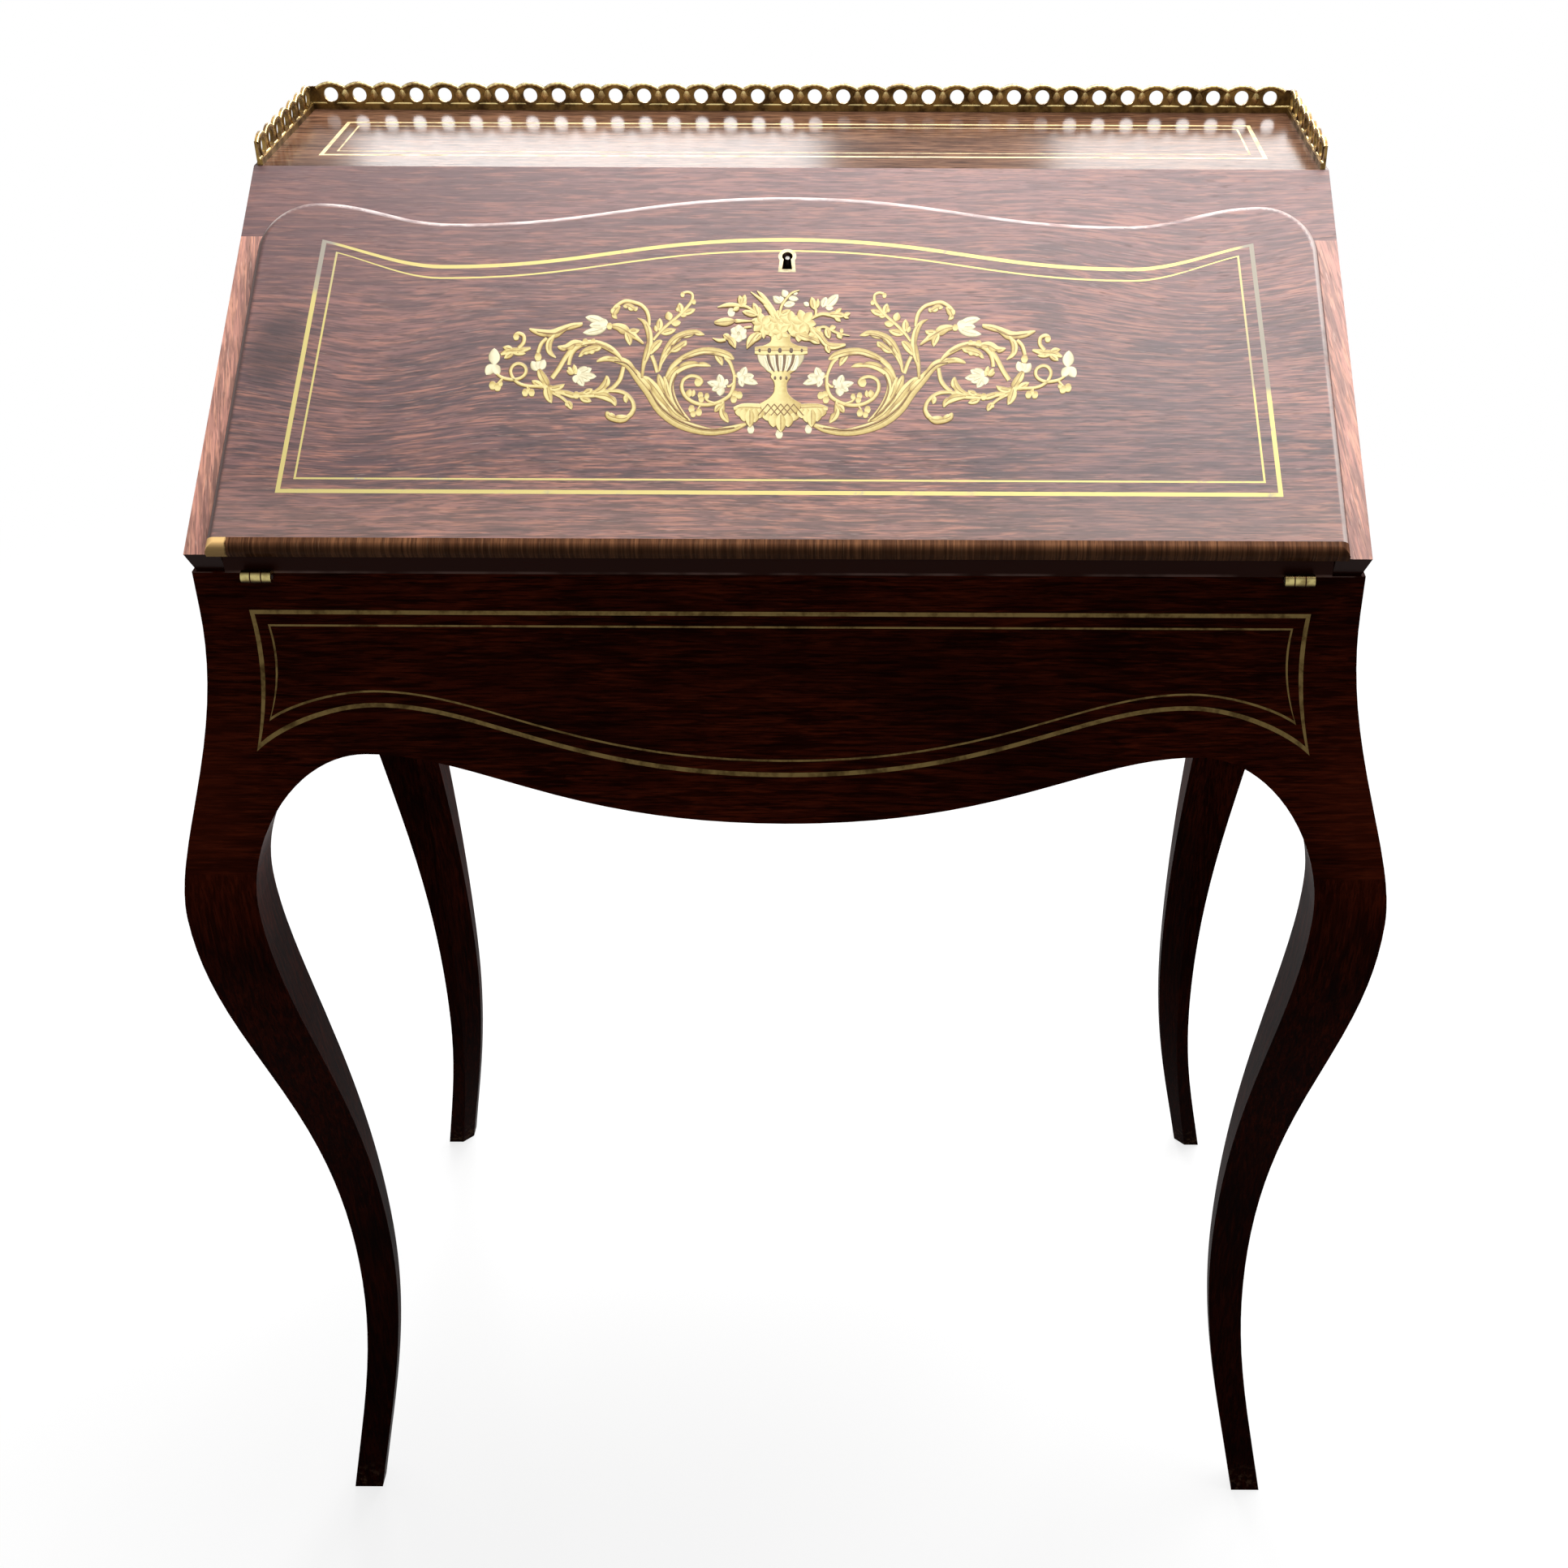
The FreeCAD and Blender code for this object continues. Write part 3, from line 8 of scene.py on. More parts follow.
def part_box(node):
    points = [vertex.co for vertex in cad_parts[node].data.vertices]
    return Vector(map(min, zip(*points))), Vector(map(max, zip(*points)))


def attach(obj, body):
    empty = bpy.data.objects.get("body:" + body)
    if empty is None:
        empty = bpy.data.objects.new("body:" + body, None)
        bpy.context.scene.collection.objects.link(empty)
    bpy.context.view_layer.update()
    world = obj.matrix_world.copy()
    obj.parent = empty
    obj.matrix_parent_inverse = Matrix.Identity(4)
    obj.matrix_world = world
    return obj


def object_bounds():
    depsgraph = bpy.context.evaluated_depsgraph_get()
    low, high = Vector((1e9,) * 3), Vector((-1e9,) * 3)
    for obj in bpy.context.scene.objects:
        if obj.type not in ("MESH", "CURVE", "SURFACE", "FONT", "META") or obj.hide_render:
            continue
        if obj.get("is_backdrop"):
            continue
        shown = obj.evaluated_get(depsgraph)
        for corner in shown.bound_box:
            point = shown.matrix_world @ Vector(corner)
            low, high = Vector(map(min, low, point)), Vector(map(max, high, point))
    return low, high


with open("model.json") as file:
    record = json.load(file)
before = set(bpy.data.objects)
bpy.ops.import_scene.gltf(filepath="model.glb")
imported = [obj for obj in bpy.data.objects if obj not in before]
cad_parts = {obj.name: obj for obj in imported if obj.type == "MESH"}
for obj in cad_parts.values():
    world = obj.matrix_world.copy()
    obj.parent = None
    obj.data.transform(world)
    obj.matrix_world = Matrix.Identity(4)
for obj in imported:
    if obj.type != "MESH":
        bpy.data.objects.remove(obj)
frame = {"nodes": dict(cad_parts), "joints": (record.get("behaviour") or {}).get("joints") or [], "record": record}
CAD_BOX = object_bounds()
NODES = frame["nodes"]
RIGHT = Vector((1, 0, 0))
BACK = Vector((0, 1, 0))
UP = Vector((0, 0, 1))

# Camera of the photograph, metres and degrees; the picture is square
PICTURE_PX = 1932
FOCAL_PX = 2500
CENTRE_PX = (1108.7, 966.0)
SENSOR_MM = 36.0
CAMERA_PLACE = Vector((0.06705, -1.18428, 1.25948))
CAMERA_PITCH = math.radians(32.746)
CAMERA_ROLL = math.radians(0.233)

# Light: each window has its place, size and watts
WORLD_FILL = 0.20
SOFTBOX_PLACE = Vector((0.36, 0.68, 2.35))
SOFTBOX_AIM = Vector((0.05, -0.05, 0.85))
SOFTBOX_SIZE = (2.2, 1.5)
SOFTBOX_WATTS = 92
WINDOW_AIM = Vector((0, 0.1, 0.9))
WINDOWS = (
    (Vector((-0.50, 2.6, 1.75)), (0.86, 0.90), 29),
    (Vector((0.73, 2.6, 1.75)), (0.80, 0.90), 23),
)
FLOOR_SIZE = 30.0
FLOOR_NEAR_GLOW = 0.80
FLOOR_ALBEDO = 0.21
FLOOR_FADE = (0.7, 1.9)

# Flap: its own directions, from the bolt that slides up it
BOLT_AXES = [joint["axis"] for joint in frame["joints"] if joint["name"] == "lock_bolt_slide"]
FLAP_UP = Vector(BOLT_AXES[0])
FLAP_OUT = Vector((0, -FLAP_UP.z, FLAP_UP.y))
FLAP_FACE = max(FLAP_OUT.dot(vertex.co) for vertex in NODES["flap_panel"].data.vertices)


# Shader maths

class Wire:
    """A socket of a material that takes part in Python sums."""

    def __init__(self, tree, socket=None):
        self.tree = tree
        self.socket = socket

    def make(self, kind, settings=(), inputs=(), output=0):
        """Add a node from its type, its settings and the values or wires of its inputs."""
        node = self.tree.nodes.new(kind)
        for name, value in dict(settings).items():
            if name == "stops":
                set_stops(node.color_ramp, value)
            else:
                setattr(node, name, value)
        for name, value in dict(inputs).items():
            if isinstance(value, Wire):
                self.tree.links.new(value.socket, node.inputs[name])
            else:
                node.inputs[name].default_value = value
        return Wire(self.tree, node.outputs[output])

    def math(self, operation, *others):
        return self.make("ShaderNodeMath", {"operation": operation}, enumerate((self, *others)))

    def __add__(self, other):
        return self.math("ADD", other)

    def __mul__(self, other):
        return self.math("MULTIPLY", other)

    def __sub__(self, other):
        return self.math("SUBTRACT", other)

    def __rsub__(self, other):
        return self.make("ShaderNodeMath", {"operation": "SUBTRACT"}, {0: other, 1: self})

    def __abs__(self):
        return self.math("ABSOLUTE")

    __radd__ = __add__
    __rmul__ = __mul__

    def step(self, low, high):
        """Smooth rise from 0 at low to 1 at high."""
        inputs = {"Value": self, "From Min": low, "From Max": high}
        return self.make("ShaderNodeMapRange", {"interpolation_type": "SMOOTHSTEP"}, inputs)

    def ramp(self, *stops):
        """Colour that goes with the value through (place, colour) stops."""
        return self.make("ShaderNodeValToRGB", {"stops": stops}, {0: self})

    def mix(self, low, high):
        """Colour between two, where this value is the share of the second."""
        return self.make("ShaderNodeMix", {"data_type": "RGBA"}, {0: self, 6: low, 7: high}, 2)

    def axis(self, name):
        """One coordinate of a vector."""
        return self.make("ShaderNodeSeparateXYZ", (), {0: self}, name)

    def scaled(self, scales, shift=(0, 0, 0)):
        """Vector with each coordinate stretched, then moved."""
        inputs = {0: self, 1: scales, 2: shift}
        return self.make("ShaderNodeVectorMath", {"operation": "MULTIPLY_ADD"}, inputs)

    def turned(self, axis, angle):
        """Vector turned about an axis through the origin."""
        inputs = {"Vector": self, "Axis": axis, "Angle": angle}
        return self.make("ShaderNodeVectorRotate", {"rotation_type": "AXIS_ANGLE"}, inputs)

    def away(self, spot):
        """Distance of this point from a spot."""
        return self.make("ShaderNodeVectorMath", {"operation": "DISTANCE"}, {0: self, 1: spot}, "Value")

    def noise(self, scale=1.0, detail=3.0, roughness=0.55, distortion=0.0):
        """Cloudy value from 0 to 1 at this vector."""
        inputs = {"Vector": self, "Scale": scale, "Detail": detail, "Roughness": roughness,
                  "Distortion": distortion}
        return self.make("ShaderNodeTexNoise", (), inputs)


def set_stops(ramp, stops):
    """Give a colour ramp its places and colours."""
    while len(ramp.elements) < len(stops):
        ramp.elements.new(1)
    for element, (place, colour) in zip(ramp.elements, stops):
        element.position = place
        element.color = colour


def rgb(red, green, blue):
    """Opaque colour."""
    return (red, green, blue, 1)


def grey(level):
    """Opaque grey, from 0 for black to 1 for white."""
    return rgb(level, level, level)


def new_material(name):
    """Empty material as (material, wire to build with, shader node)."""
    material = bpy.data.materials.new(name)
    material.use_nodes = True
    tree = material.node_tree
    shader = tree.nodes["Principled BSDF"]
    return material, Wire(tree), shader


def feed(shader, **wires):
    """Join wires to the shader's sockets by name, underscores for spaces."""
    for name, wire in wires.items():
        wire.tree.links.new(wire.socket, shader.inputs[name.replace("_", " ")])


def fix(shader, **values):
    """Set constants on the shader's own sockets."""
    for name, value in values.items():
        shader.inputs[name.replace("_", " ")].default_value = value


def texture(wire, output="Object"):
    """Where the point is on the piece at rest, in metres, or how its surface faces."""
    return wire.make("ShaderNodeTexCoord", (), (), output)


def drawn_shade(wire):
    """Shade that is kept with the vertices of a mesh."""
    return wire.make("ShaderNodeAttribute", {"attribute_name": "shade"}, (), "Fac")


def bumped(wire, height, strength, distance):
    """Surface direction over small bumps of a height."""
    inputs = {"Height": height, "Strength": strength, "Distance": distance}
    return wire.make("ShaderNodeBump", (), inputs, "Normal")


# Wood tones: dark ground, light ground, ember streak, ash streak, pore and glint

DARK, LIGHT, EMBER, ASH, PORE, GLINT = range(6)
FLAP_TONES = (rgb(0.138, 0.064, 0.063), rgb(0.380, 0.171, 0.143), rgb(0.570, 0.235, 0.150),
              rgb(0.036, 0.021, 0.023), rgb(0.014, 0.008, 0.007), rgb(0.440, 0.300, 0.250))
# The frame's tones: its own dark rosewood, darkened further as painted shade
SHADED_FRAME_TONES = (rgb(0.0450, 0.0062, 0.0022), rgb(0.1040, 0.0142, 0.0050), rgb(0.1760, 0.0260, 0.0084),
               rgb(0.0080, 0.0012, 0.0006), rgb(0.0030, 0.0006, 0.0004), rgb(0.1300, 0.0300, 0.0160))
# The case sides' tones: paler wood, and paler still as painted sheen
SHEENED_SIDE_TONES = (rgb(0.430, 0.192, 0.152), rgb(0.740, 0.345, 0.265), rgb(0.820, 0.395, 0.260),
              rgb(0.220, 0.108, 0.088), rgb(0.080, 0.032, 0.024), rgb(0.820, 0.540, 0.430))
TOP_TONES = (rgb(0.062, 0.026, 0.015), rgb(0.160, 0.080, 0.048), rgb(0.212, 0.102, 0.054),
             rgb(0.030, 0.013, 0.008), rgb(0.014, 0.006, 0.004), rgb(0.260, 0.150, 0.088))
BAND_TONES = (rgb(0.120, 0.047, 0.021), rgb(0.210, 0.090, 0.041), rgb(0.280, 0.120, 0.054),
              rgb(0.064, 0.025, 0.012), rgb(0.030, 0.012, 0.006), rgb(0.300, 0.180, 0.100))
INNER_TONES = (rgb(0.150, 0.060, 0.026), rgb(0.290, 0.135, 0.062), rgb(0.360, 0.150, 0.062),
               rgb(0.110, 0.044, 0.020), rgb(0.060, 0.022, 0.010), rgb(0.380, 0.220, 0.120))
OAK_TONES = (rgb(0.260, 0.155, 0.075), rgb(0.430, 0.280, 0.150), rgb(0.480, 0.300, 0.150),
             rgb(0.200, 0.115, 0.055), rgb(0.110, 0.060, 0.028), rgb(0.520, 0.360, 0.220))
RAW_WOOD = rgb(0.960, 0.600, 0.240)
# Painted highlight of the lip's rounded edge
EDGE_HIGHLIGHT = rgb(0.560, 0.470, 0.440)
RUBBED_FOOT = rgb(0.110, 0.060, 0.036)
# Greyer, darker tone of the flap towards its left and round a spot low on its right
GREYED_TONE = rgb(0.092, 0.066, 0.074)
# Painted shade of the lip's edges that face left
LEFT_EDGE_SHADE = rgb(0.070, 0.030, 0.024)
# Painted shade on upright faces of the flap, on the case sides' fronts and in the hinges' knuckle gaps
PAINTED_SHADE = rgb(0.028, 0.006, 0.003)
GLUE = rgb(0.260, 0.150, 0.125)

# Grain streaks: fineness along and across it per metre, shift, noise span, detail, share and tone
STREAK_SWAY = 0.35
GROUND_STREAKS = (5, 20, 3.1, (0.32, 0.68), 3)
WAVY_STREAKS = (
    (20, 80, 8.3, (0.46, 0.68), 3, 0.35, EMBER),
    (15, 110, 6.1, (0.48, 0.68), 3, 0.32, ASH),
    (40, 420, 7.7, (0.48, 0.62), 3, 0.60, EMBER),
    (34, 380, 1.3, (0.48, 0.62), 3, 0.66, ASH),
)
STRAIGHT_STREAKS = (
    (34, 700, 5.9, (0.46, 0.64), 2, 0.62, ASH),
    (70, 1500, 9.4, (0.50, 0.68), 1, 0.40, ASH),
    (80, 1000, 2.2, (0.62, 0.72), 2, 0.40, GLINT),
)
PORE_STREAKS = (110, 1300, 4.6, (0.58, 0.74), 1)
PORE_SHARE = 0.50
WAVE_NOISE = {"Scale": 5.0, "Detail": 1.0}
WAVE_HEIGHT = 0.014

# Ways the grain runs, as a turn about an axis
LENGTHWISE = (UP, 0.0)
UPRIGHT = (BACK, math.radians(90))
SLANTING = (FLAP_OUT, math.radians(82))
BAND_STRETCH = (0.4, 0.05, 1.1)

# Polish: a noise is its scale, detail and roughness, and a dent its strength and depth
WEAR_NOISE = (9, 4, 0.6)
WEAR_ROUGHNESS = 0.16
PORE_ROUGHNESS = 0.12
PORE_DENT = (0.25, 0.00006)
PORE_DULLING = 0.35
LEVEL_SPAN = (0.25, 0.6)

# Wear of the flap, with painted highlight, sheen and shade: a span is where an effect begins and where it is full
SWIRLS = ((Vector((0.242, -0.035, 0.857)), 0.11, 0.016), (Vector((-0.235, -0.090, 0.823)), 0.09, 0.014))
# Painted highlight along the lip's rounded edge, where it leans up the slope or faces right
EDGE_HIGHLIGHT_RISE = (0.12, 0.35)
EDGE_HIGHLIGHT_FALL = (0.85, 0.60)
EDGE_HIGHLIGHT_NOISE = (40, 3)
EDGE_HIGHLIGHT_GAPS = (0.25, 0.55)
EDGE_HIGHLIGHT_SHARE = 0.8
# Greyer and darker towards the flap's left and round a spot low on its right
LEFT_GREY_SPAN = (0.02, -0.32)
LEFT_GREY_SHARE = 0.35
DULL_PLACE = Vector((0.21, -0.135, 0.797))
DULL_REACH = (0.14, 0.03)
DULL_SHARE = 0.5
# Painted shade darkening the flap towards its top, and painted sheen paling it low down
TOP_SHADE_SPAN = (0.815, 0.900)
TOP_SHADE_SHARE = 0.52
LOW_SHEEN_SPAN = (0.800, 0.778)
LOW_SHEEN_SHARE = 0.18
SMUDGE_STRETCH = (1.6, 1, 1)
SMUDGE_PLACE = Vector((-0.464, -0.072, 0.834))
SMUDGE_REACH = (0.055, 0.028)
SMUDGE_NOISE = (30, 4)
SMUDGE_RAGGED = 0.03
SMUDGE_SHARE = 0.65
# Where the lip's edges face left, for their painted shade
LEFT_EDGE_SHADE_SPAN = (-0.12, -0.45)
FLAP_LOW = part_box("flap_panel")[0][2]
GLUE_LINE = 0.0009
SEAM_SPAN = (FLAP_LOW + 2 * GLUE_LINE, FLAP_LOW + GLUE_LINE)
SEAM_NOISE = (30, 2)
SEAM_GAPS = (0.36, 0.60)
SEAM_SHARE = 0.8

# Wear of the case sides and the nosing, and painted shade on the sides' front faces
# Where the case side faces the front, for its painted shade
FRONT_SHADE_SPAN = (-0.80, -0.95)
REAR_SPAN = (0.80, 0.95)
REAR_SHARE = 0.8
CHIP_EDGE = -0.2990
CHIP_NOISE = (420, 3)
CHIP_RAGGED = 0.0016

# Wear of the frame, with painted light on its knees and painted shade low on its legs
KNEE_SEAM = (0.568, 0.570)
CLOUD_SIZES = (7, 7, 11)
CLOUD_SPAN = (0.44, 0.70)
CLOUD_SHARE = 0.6
# Painted warm light on both knees
KNEE_LIGHT_SIDE = (0.285, 0.335)
KNEE_LIGHT_RISE = (0.50, 0.60)
KNEE_LIGHT_FALL = (0.70, 0.62)
KNEE_LIGHT_SHARE = 0.30
# Painted shade darkening the legs towards the floor
LEG_SHADE = (0.598, 0.488)
LEG_SHADE_SHARE = 0.52
FOOT_SHADE = (0.568, 0)
FOOT_SHADE_SHARE = 0.3
FOOT_SPAN = (0.030, 0)
FOOT_NOISE = (260, 4)
FOOT_SPECKS = (0.50, 0.66)
FOOT_SHARE = 0.7
FRAME_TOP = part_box("front_apron")[1][2]
GLUE_SPAN = (FRAME_TOP - GLUE_LINE, FRAME_TOP)
GLUE_NOISE = (70, 2)
GLUE_GAPS = (0.38, 0.52)
SHEER_SPAN = (0.9, 0.5)


def streaks(point, along, across, shift, span, detail, sway=0.0):
    """Share of streaks that lie along X, from their fineness and the span of noise where they show."""
    field = point.scaled((along, across, across), (shift, shift, shift))
    return field.noise(detail=detail, distortion=sway).step(*span)


def figured(point, tones):
    """Colour of rosewood whose grain runs along X in gentle waves, and its pores."""
    waves = point.make("ShaderNodeTexNoise", (), {"Vector": point, **WAVE_NOISE}, "Color")
    wavy = waves.scaled((0, WAVE_HEIGHT, WAVE_HEIGHT), point)
    colour = streaks(wavy, *GROUND_STREAKS, STREAK_SWAY).mix(tones[DARK], tones[LIGHT])
    for *streak, share, tone in WAVY_STREAKS:
        colour = (streaks(wavy, *streak, STREAK_SWAY) * share).mix(colour, tones[tone])
    for *streak, share, tone in STRAIGHT_STREAKS:
        colour = (streaks(point, *streak) * share).mix(colour, tones[tone])
    pores = streaks(point, *PORE_STREAKS)
    return (pores * PORE_SHARE).mix(colour, tones[PORE]), pores


def level(wire):
    """1 where a surface faces up or down, 0 where it is upright."""
    return abs(texture(wire, "Normal").axis("Z")).step(*LEVEL_SPAN)


def rosewood(name, tones, grain, specular, roughness, polish=0.0, change=None, swirls=(),
             stretch=(1, 1, 1)):
    """Rosewood veneer whose polish shows where it faces up or down; change alters its colour by place."""
    material, wire, shader = new_material(name)
    point = texture(wire)
    figure = point
    for place, reach, lift in swirls:
        figure = point.away(place).step(reach, 0).scaled(FLAP_UP * lift, figure)
    colour, pores = figured(figure.turned(*grain).scaled(stretch), tones)
    if change:
        colour = change(point, colour)
    wear = point.noise(*WEAR_NOISE)
    rough = wear * WEAR_ROUGHNESS + pores * PORE_ROUGHNESS + (roughness - WEAR_ROUGHNESS / 2)
    feed(shader, Base_Color=colour, Roughness=rough, Normal=bumped(wire, 1 - pores, *PORE_DENT))
    fix(shader, Specular_IOR_Level=specular)
    if polish:
        feed(shader, Coat_Weight=level(wire) * (1 - pores * PORE_DULLING) * polish)
        fix(shader, Coat_Roughness=roughness)
    return material


def flap_edges(point, colour):
    """The lip's rounded edge has a painted highlight, but painted shade at the left, and the upright edges under
    it are painted in shade.
    """
    facing = texture(point, "Normal")
    # Painted highlight where the lip's edge leans up the slope or faces right
    lean = facing.axis("Y") * FLAP_UP.y + facing.axis("Z") * FLAP_UP.z
    lean = lean.math("MAXIMUM", facing.axis("X"))
    wear_and_highlight = lean.step(*EDGE_HIGHLIGHT_RISE) * lean.step(*EDGE_HIGHLIGHT_FALL) * point.noise(*EDGE_HIGHLIGHT_NOISE).step(*EDGE_HIGHLIGHT_GAPS)
    # Greyer and darker towards the left and round a spot low on the right
    greyer_left = point.axis("X").step(*LEFT_GREY_SPAN)
    dull = point.away(DULL_PLACE).step(*DULL_REACH)
    colour = (greyer_left * LEFT_GREY_SHARE + dull * DULL_SHARE).mix(colour, GREYED_TONE)
    height = point.axis("Z")
    # Painted shade towards the top of the flap, then painted sheen low down
    colour = (height.step(*TOP_SHADE_SPAN) * TOP_SHADE_SHARE).mix(colour, FLAP_TONES[DARK])
    colour = (height.step(*LOW_SHEEN_SPAN) * LOW_SHEEN_SHARE).mix(colour, FLAP_TONES[GLINT])
    smudge = point.scaled(SMUDGE_STRETCH).away(SMUDGE_PLACE) + point.noise(*SMUDGE_NOISE) * SMUDGE_RAGGED
    colour = (smudge.step(*SMUDGE_REACH) * SMUDGE_SHARE).mix(colour, FLAP_TONES[ASH])
    # Painted shade on the lip's edges that face left
    colour = facing.axis("X").step(*LEFT_EDGE_SHADE_SPAN).mix(colour, LEFT_EDGE_SHADE)
    # Painted highlight on the lip's edge; painted shade on every upright face
    colour = level(point).mix(PAINTED_SHADE, (wear_and_highlight * EDGE_HIGHLIGHT_SHARE).mix(colour, EDGE_HIGHLIGHT))
    seam = height.step(*SEAM_SPAN) * point.noise(*SEAM_NOISE).step(*SEAM_GAPS)
    return (seam * SEAM_SHARE).mix(colour, GLUE)


def side_end(point, colour):
    """The case side is painted in shade where it faces the front, and its rear edge is plain wood."""
    facing = texture(point, "Normal").axis("Y")
    colour = (facing.step(*REAR_SPAN) * REAR_SHARE).mix(colour, OAK_TONES[ASH])
    # Painted shade where the side faces the front
    return facing.step(*FRONT_SHADE_SPAN).mix(colour, PAINTED_SHADE)


def chipped(point, colour):
    """The nosing's left end has lost its veneer."""
    ragged = point.axis("X") + point.noise(*CHIP_NOISE) * CHIP_RAGGED
    return ragged.step(CHIP_EDGE, CHIP_EDGE - CHIP_RAGGED).mix(colour, RAW_WOOD)


def frame_wear(point, colour):
    """Clouds, upright grain below the seam at the knees, painted light on the knees, painted shade low on the
    legs, worn feet and pale glue on top.
    """
    upright = figured(point.turned(*UPRIGHT), SHADED_FRAME_TONES)[0]
    height = point.axis("Z")
    colour = height.step(*KNEE_SEAM).mix(upright, colour)
    clouds = point.scaled(CLOUD_SIZES).noise().step(*CLOUD_SPAN)
    colour = (clouds * CLOUD_SHARE).mix(colour, SHADED_FRAME_TONES[ASH])
    # Painted warm light on the knees, where there are no clouds
    knee_light = abs(point.axis("X")).step(*KNEE_LIGHT_SIDE) * height.step(*KNEE_LIGHT_RISE) * height.step(*KNEE_LIGHT_FALL)
    colour = (knee_light * clouds.step(1, 0) * KNEE_LIGHT_SHARE).mix(colour, SHADED_FRAME_TONES[EMBER])
    # Painted shade towards the floor
    low_shade = height.step(*LEG_SHADE) * LEG_SHADE_SHARE + height.step(*FOOT_SHADE) * FOOT_SHADE_SHARE
    colour = low_shade.mix(colour, SHADED_FRAME_TONES[PORE])
    wear_and_highlight = height.step(*FOOT_SPAN) * point.noise(*FOOT_NOISE).step(*FOOT_SPECKS)
    colour = (wear_and_highlight * FOOT_SHARE).mix(colour, RUBBED_FOOT)
    sheer = texture(point, "Normal").axis("Z").step(*SHEER_SPAN)
    glue = height.step(*GLUE_SPAN) * point.noise(*GLUE_NOISE).step(*GLUE_GAPS) * sheer
    return glue.mix(colour, GLUE)


# Metal, leather and inlay

TARNISH_NOISE = (90, 4, 0.65)
TARNISH_ROUGHNESS = 0.2
TARNISH_SIDES = (0.2615, 0.2690)
TARNISH_HEIGHT = (0.851, 0.859)
TARNISH_TILT = 0.069
TARNISH_EDGE = (70, 2)
TARNISH_RAGGED = 0.020
SCRATCH_SIZES = (300, 300, 1200)
SCRATCH_DENT = (0.15, 0.0001)
HINGE_CENTRE = sum(corner[0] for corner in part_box("hinge_frame_leaf_right")) / 2
MIDDLE_KNUCKLE = 0.006
KNUCKLE_GAP = 0.0005
# Painted highlight where the hinge barrels face out, painted shade where they face up or down
KNUCKLE_LIT_RISE = (-0.45, 0.15)
KNUCKLE_LIT_FALL = (0.92, 0.50)
KNUCKLE_SHADOW = rgb(0.060, 0.040, 0.016)
STEEL_NOISE = (220, 4, 0.6)
STEEL_STOPS = ((0.2, rgb(0.13, 0.12, 0.11)), (0.8, rgb(0.30, 0.29, 0.27)))
STEEL_ROUGHNESS = (0.25, 0.38)
LEATHER_NOISE = (14, 4, 0.6)
LEATHER_STOPS = ((0.25, rgb(0.090, 0.022, 0.014)), (0.75, rgb(0.190, 0.052, 0.030)))
LEATHER_ROUGHNESS = (0.2, 0.42)
PEBBLE_SCALE = 900.0
PEBBLE_DENT = (0.35, 0.0003)
BOXWOOD_STOPS = ((0.0, rgb(0.040, 0.016, 0.010)), (0.30, rgb(0.240, 0.120, 0.040)),
                 (0.62, rgb(0.520, 0.375, 0.110)), (0.95, rgb(0.780, 0.655, 0.285)))
IVORY_STOPS = ((0.0, rgb(0.090, 0.060, 0.040)), (0.40, rgb(0.500, 0.420, 0.220)),
               (0.90, rgb(0.820, 0.755, 0.520)))
MOTTLE_NOISE = (500, 3)
MOTTLE_SHARE = 0.30
INLAY_ROUGHNESS = (0.1, 0.32)


def knuckled(point, colour):
    """Hinge barrels have a painted highlight where they face out, painted shade where they face up or down, and
    painted shade in the gaps between their knuckles.
    """
    lean = texture(point, "Normal").axis("Z")
    wear_and_highlight = lean.step(*KNUCKLE_LIT_RISE) * lean.step(*KNUCKLE_LIT_FALL)
    colour = wear_and_highlight.mix(KNUCKLE_SHADOW, colour)
    # Painted shade in the gaps between the knuckles
    gap = abs(abs(abs(point.axis("X")) - HINGE_CENTRE) - MIDDLE_KNUCKLE / 2)
    return gap.step(KNUCKLE_GAP, KNUCKLE_GAP / 2).mix(colour, PAINTED_SHADE)


def brass(name, bright, dull, span, roughness, metallic=1.0, shaded=False, sides=None, change=None):
    """Aged brass, dull in patches; some is darkened by a painted shade drawn on the mesh, some is tarnished
    towards its sides.
    """
    material, wire, shader = new_material(name)
    point = texture(wire)
    tarnish = point.noise(*TARNISH_NOISE).step(*span)
    if sides:
        ragged = point.noise(*TARNISH_EDGE) * TARNISH_RAGGED
        height = point.axis("Z") + point.axis("X") * TARNISH_TILT + ragged
        greyed = abs(point.axis("X")).step(*sides) * height.step(*TARNISH_HEIGHT)
        tarnish = tarnish.math("MAXIMUM", greyed)
    colour = tarnish.mix(bright, dull)
    # Painted shade drawn on the mesh darkens the brass
    if shaded:
        colour = drawn_shade(wire).mix(dull, colour)
    if change:
        colour = change(point, colour)
    scratches = point.scaled(SCRATCH_SIZES).noise(detail=2)
    feed(shader, Base_Color=colour, Roughness=tarnish * TARNISH_ROUGHNESS + roughness,
         Normal=bumped(wire, scratches, *SCRATCH_DENT))
    fix(shader, Metallic=metallic)
    return material


def steel():
    """Dull iron-grey steel of locks and screws."""
    material, wire, shader = new_material("dull_steel")
    spots = texture(wire).noise(*STEEL_NOISE)
    vary, least = STEEL_ROUGHNESS
    feed(shader, Base_Color=spots.ramp(*STEEL_STOPS), Roughness=spots * vary + least)
    fix(shader, Metallic=1.0)
    return material


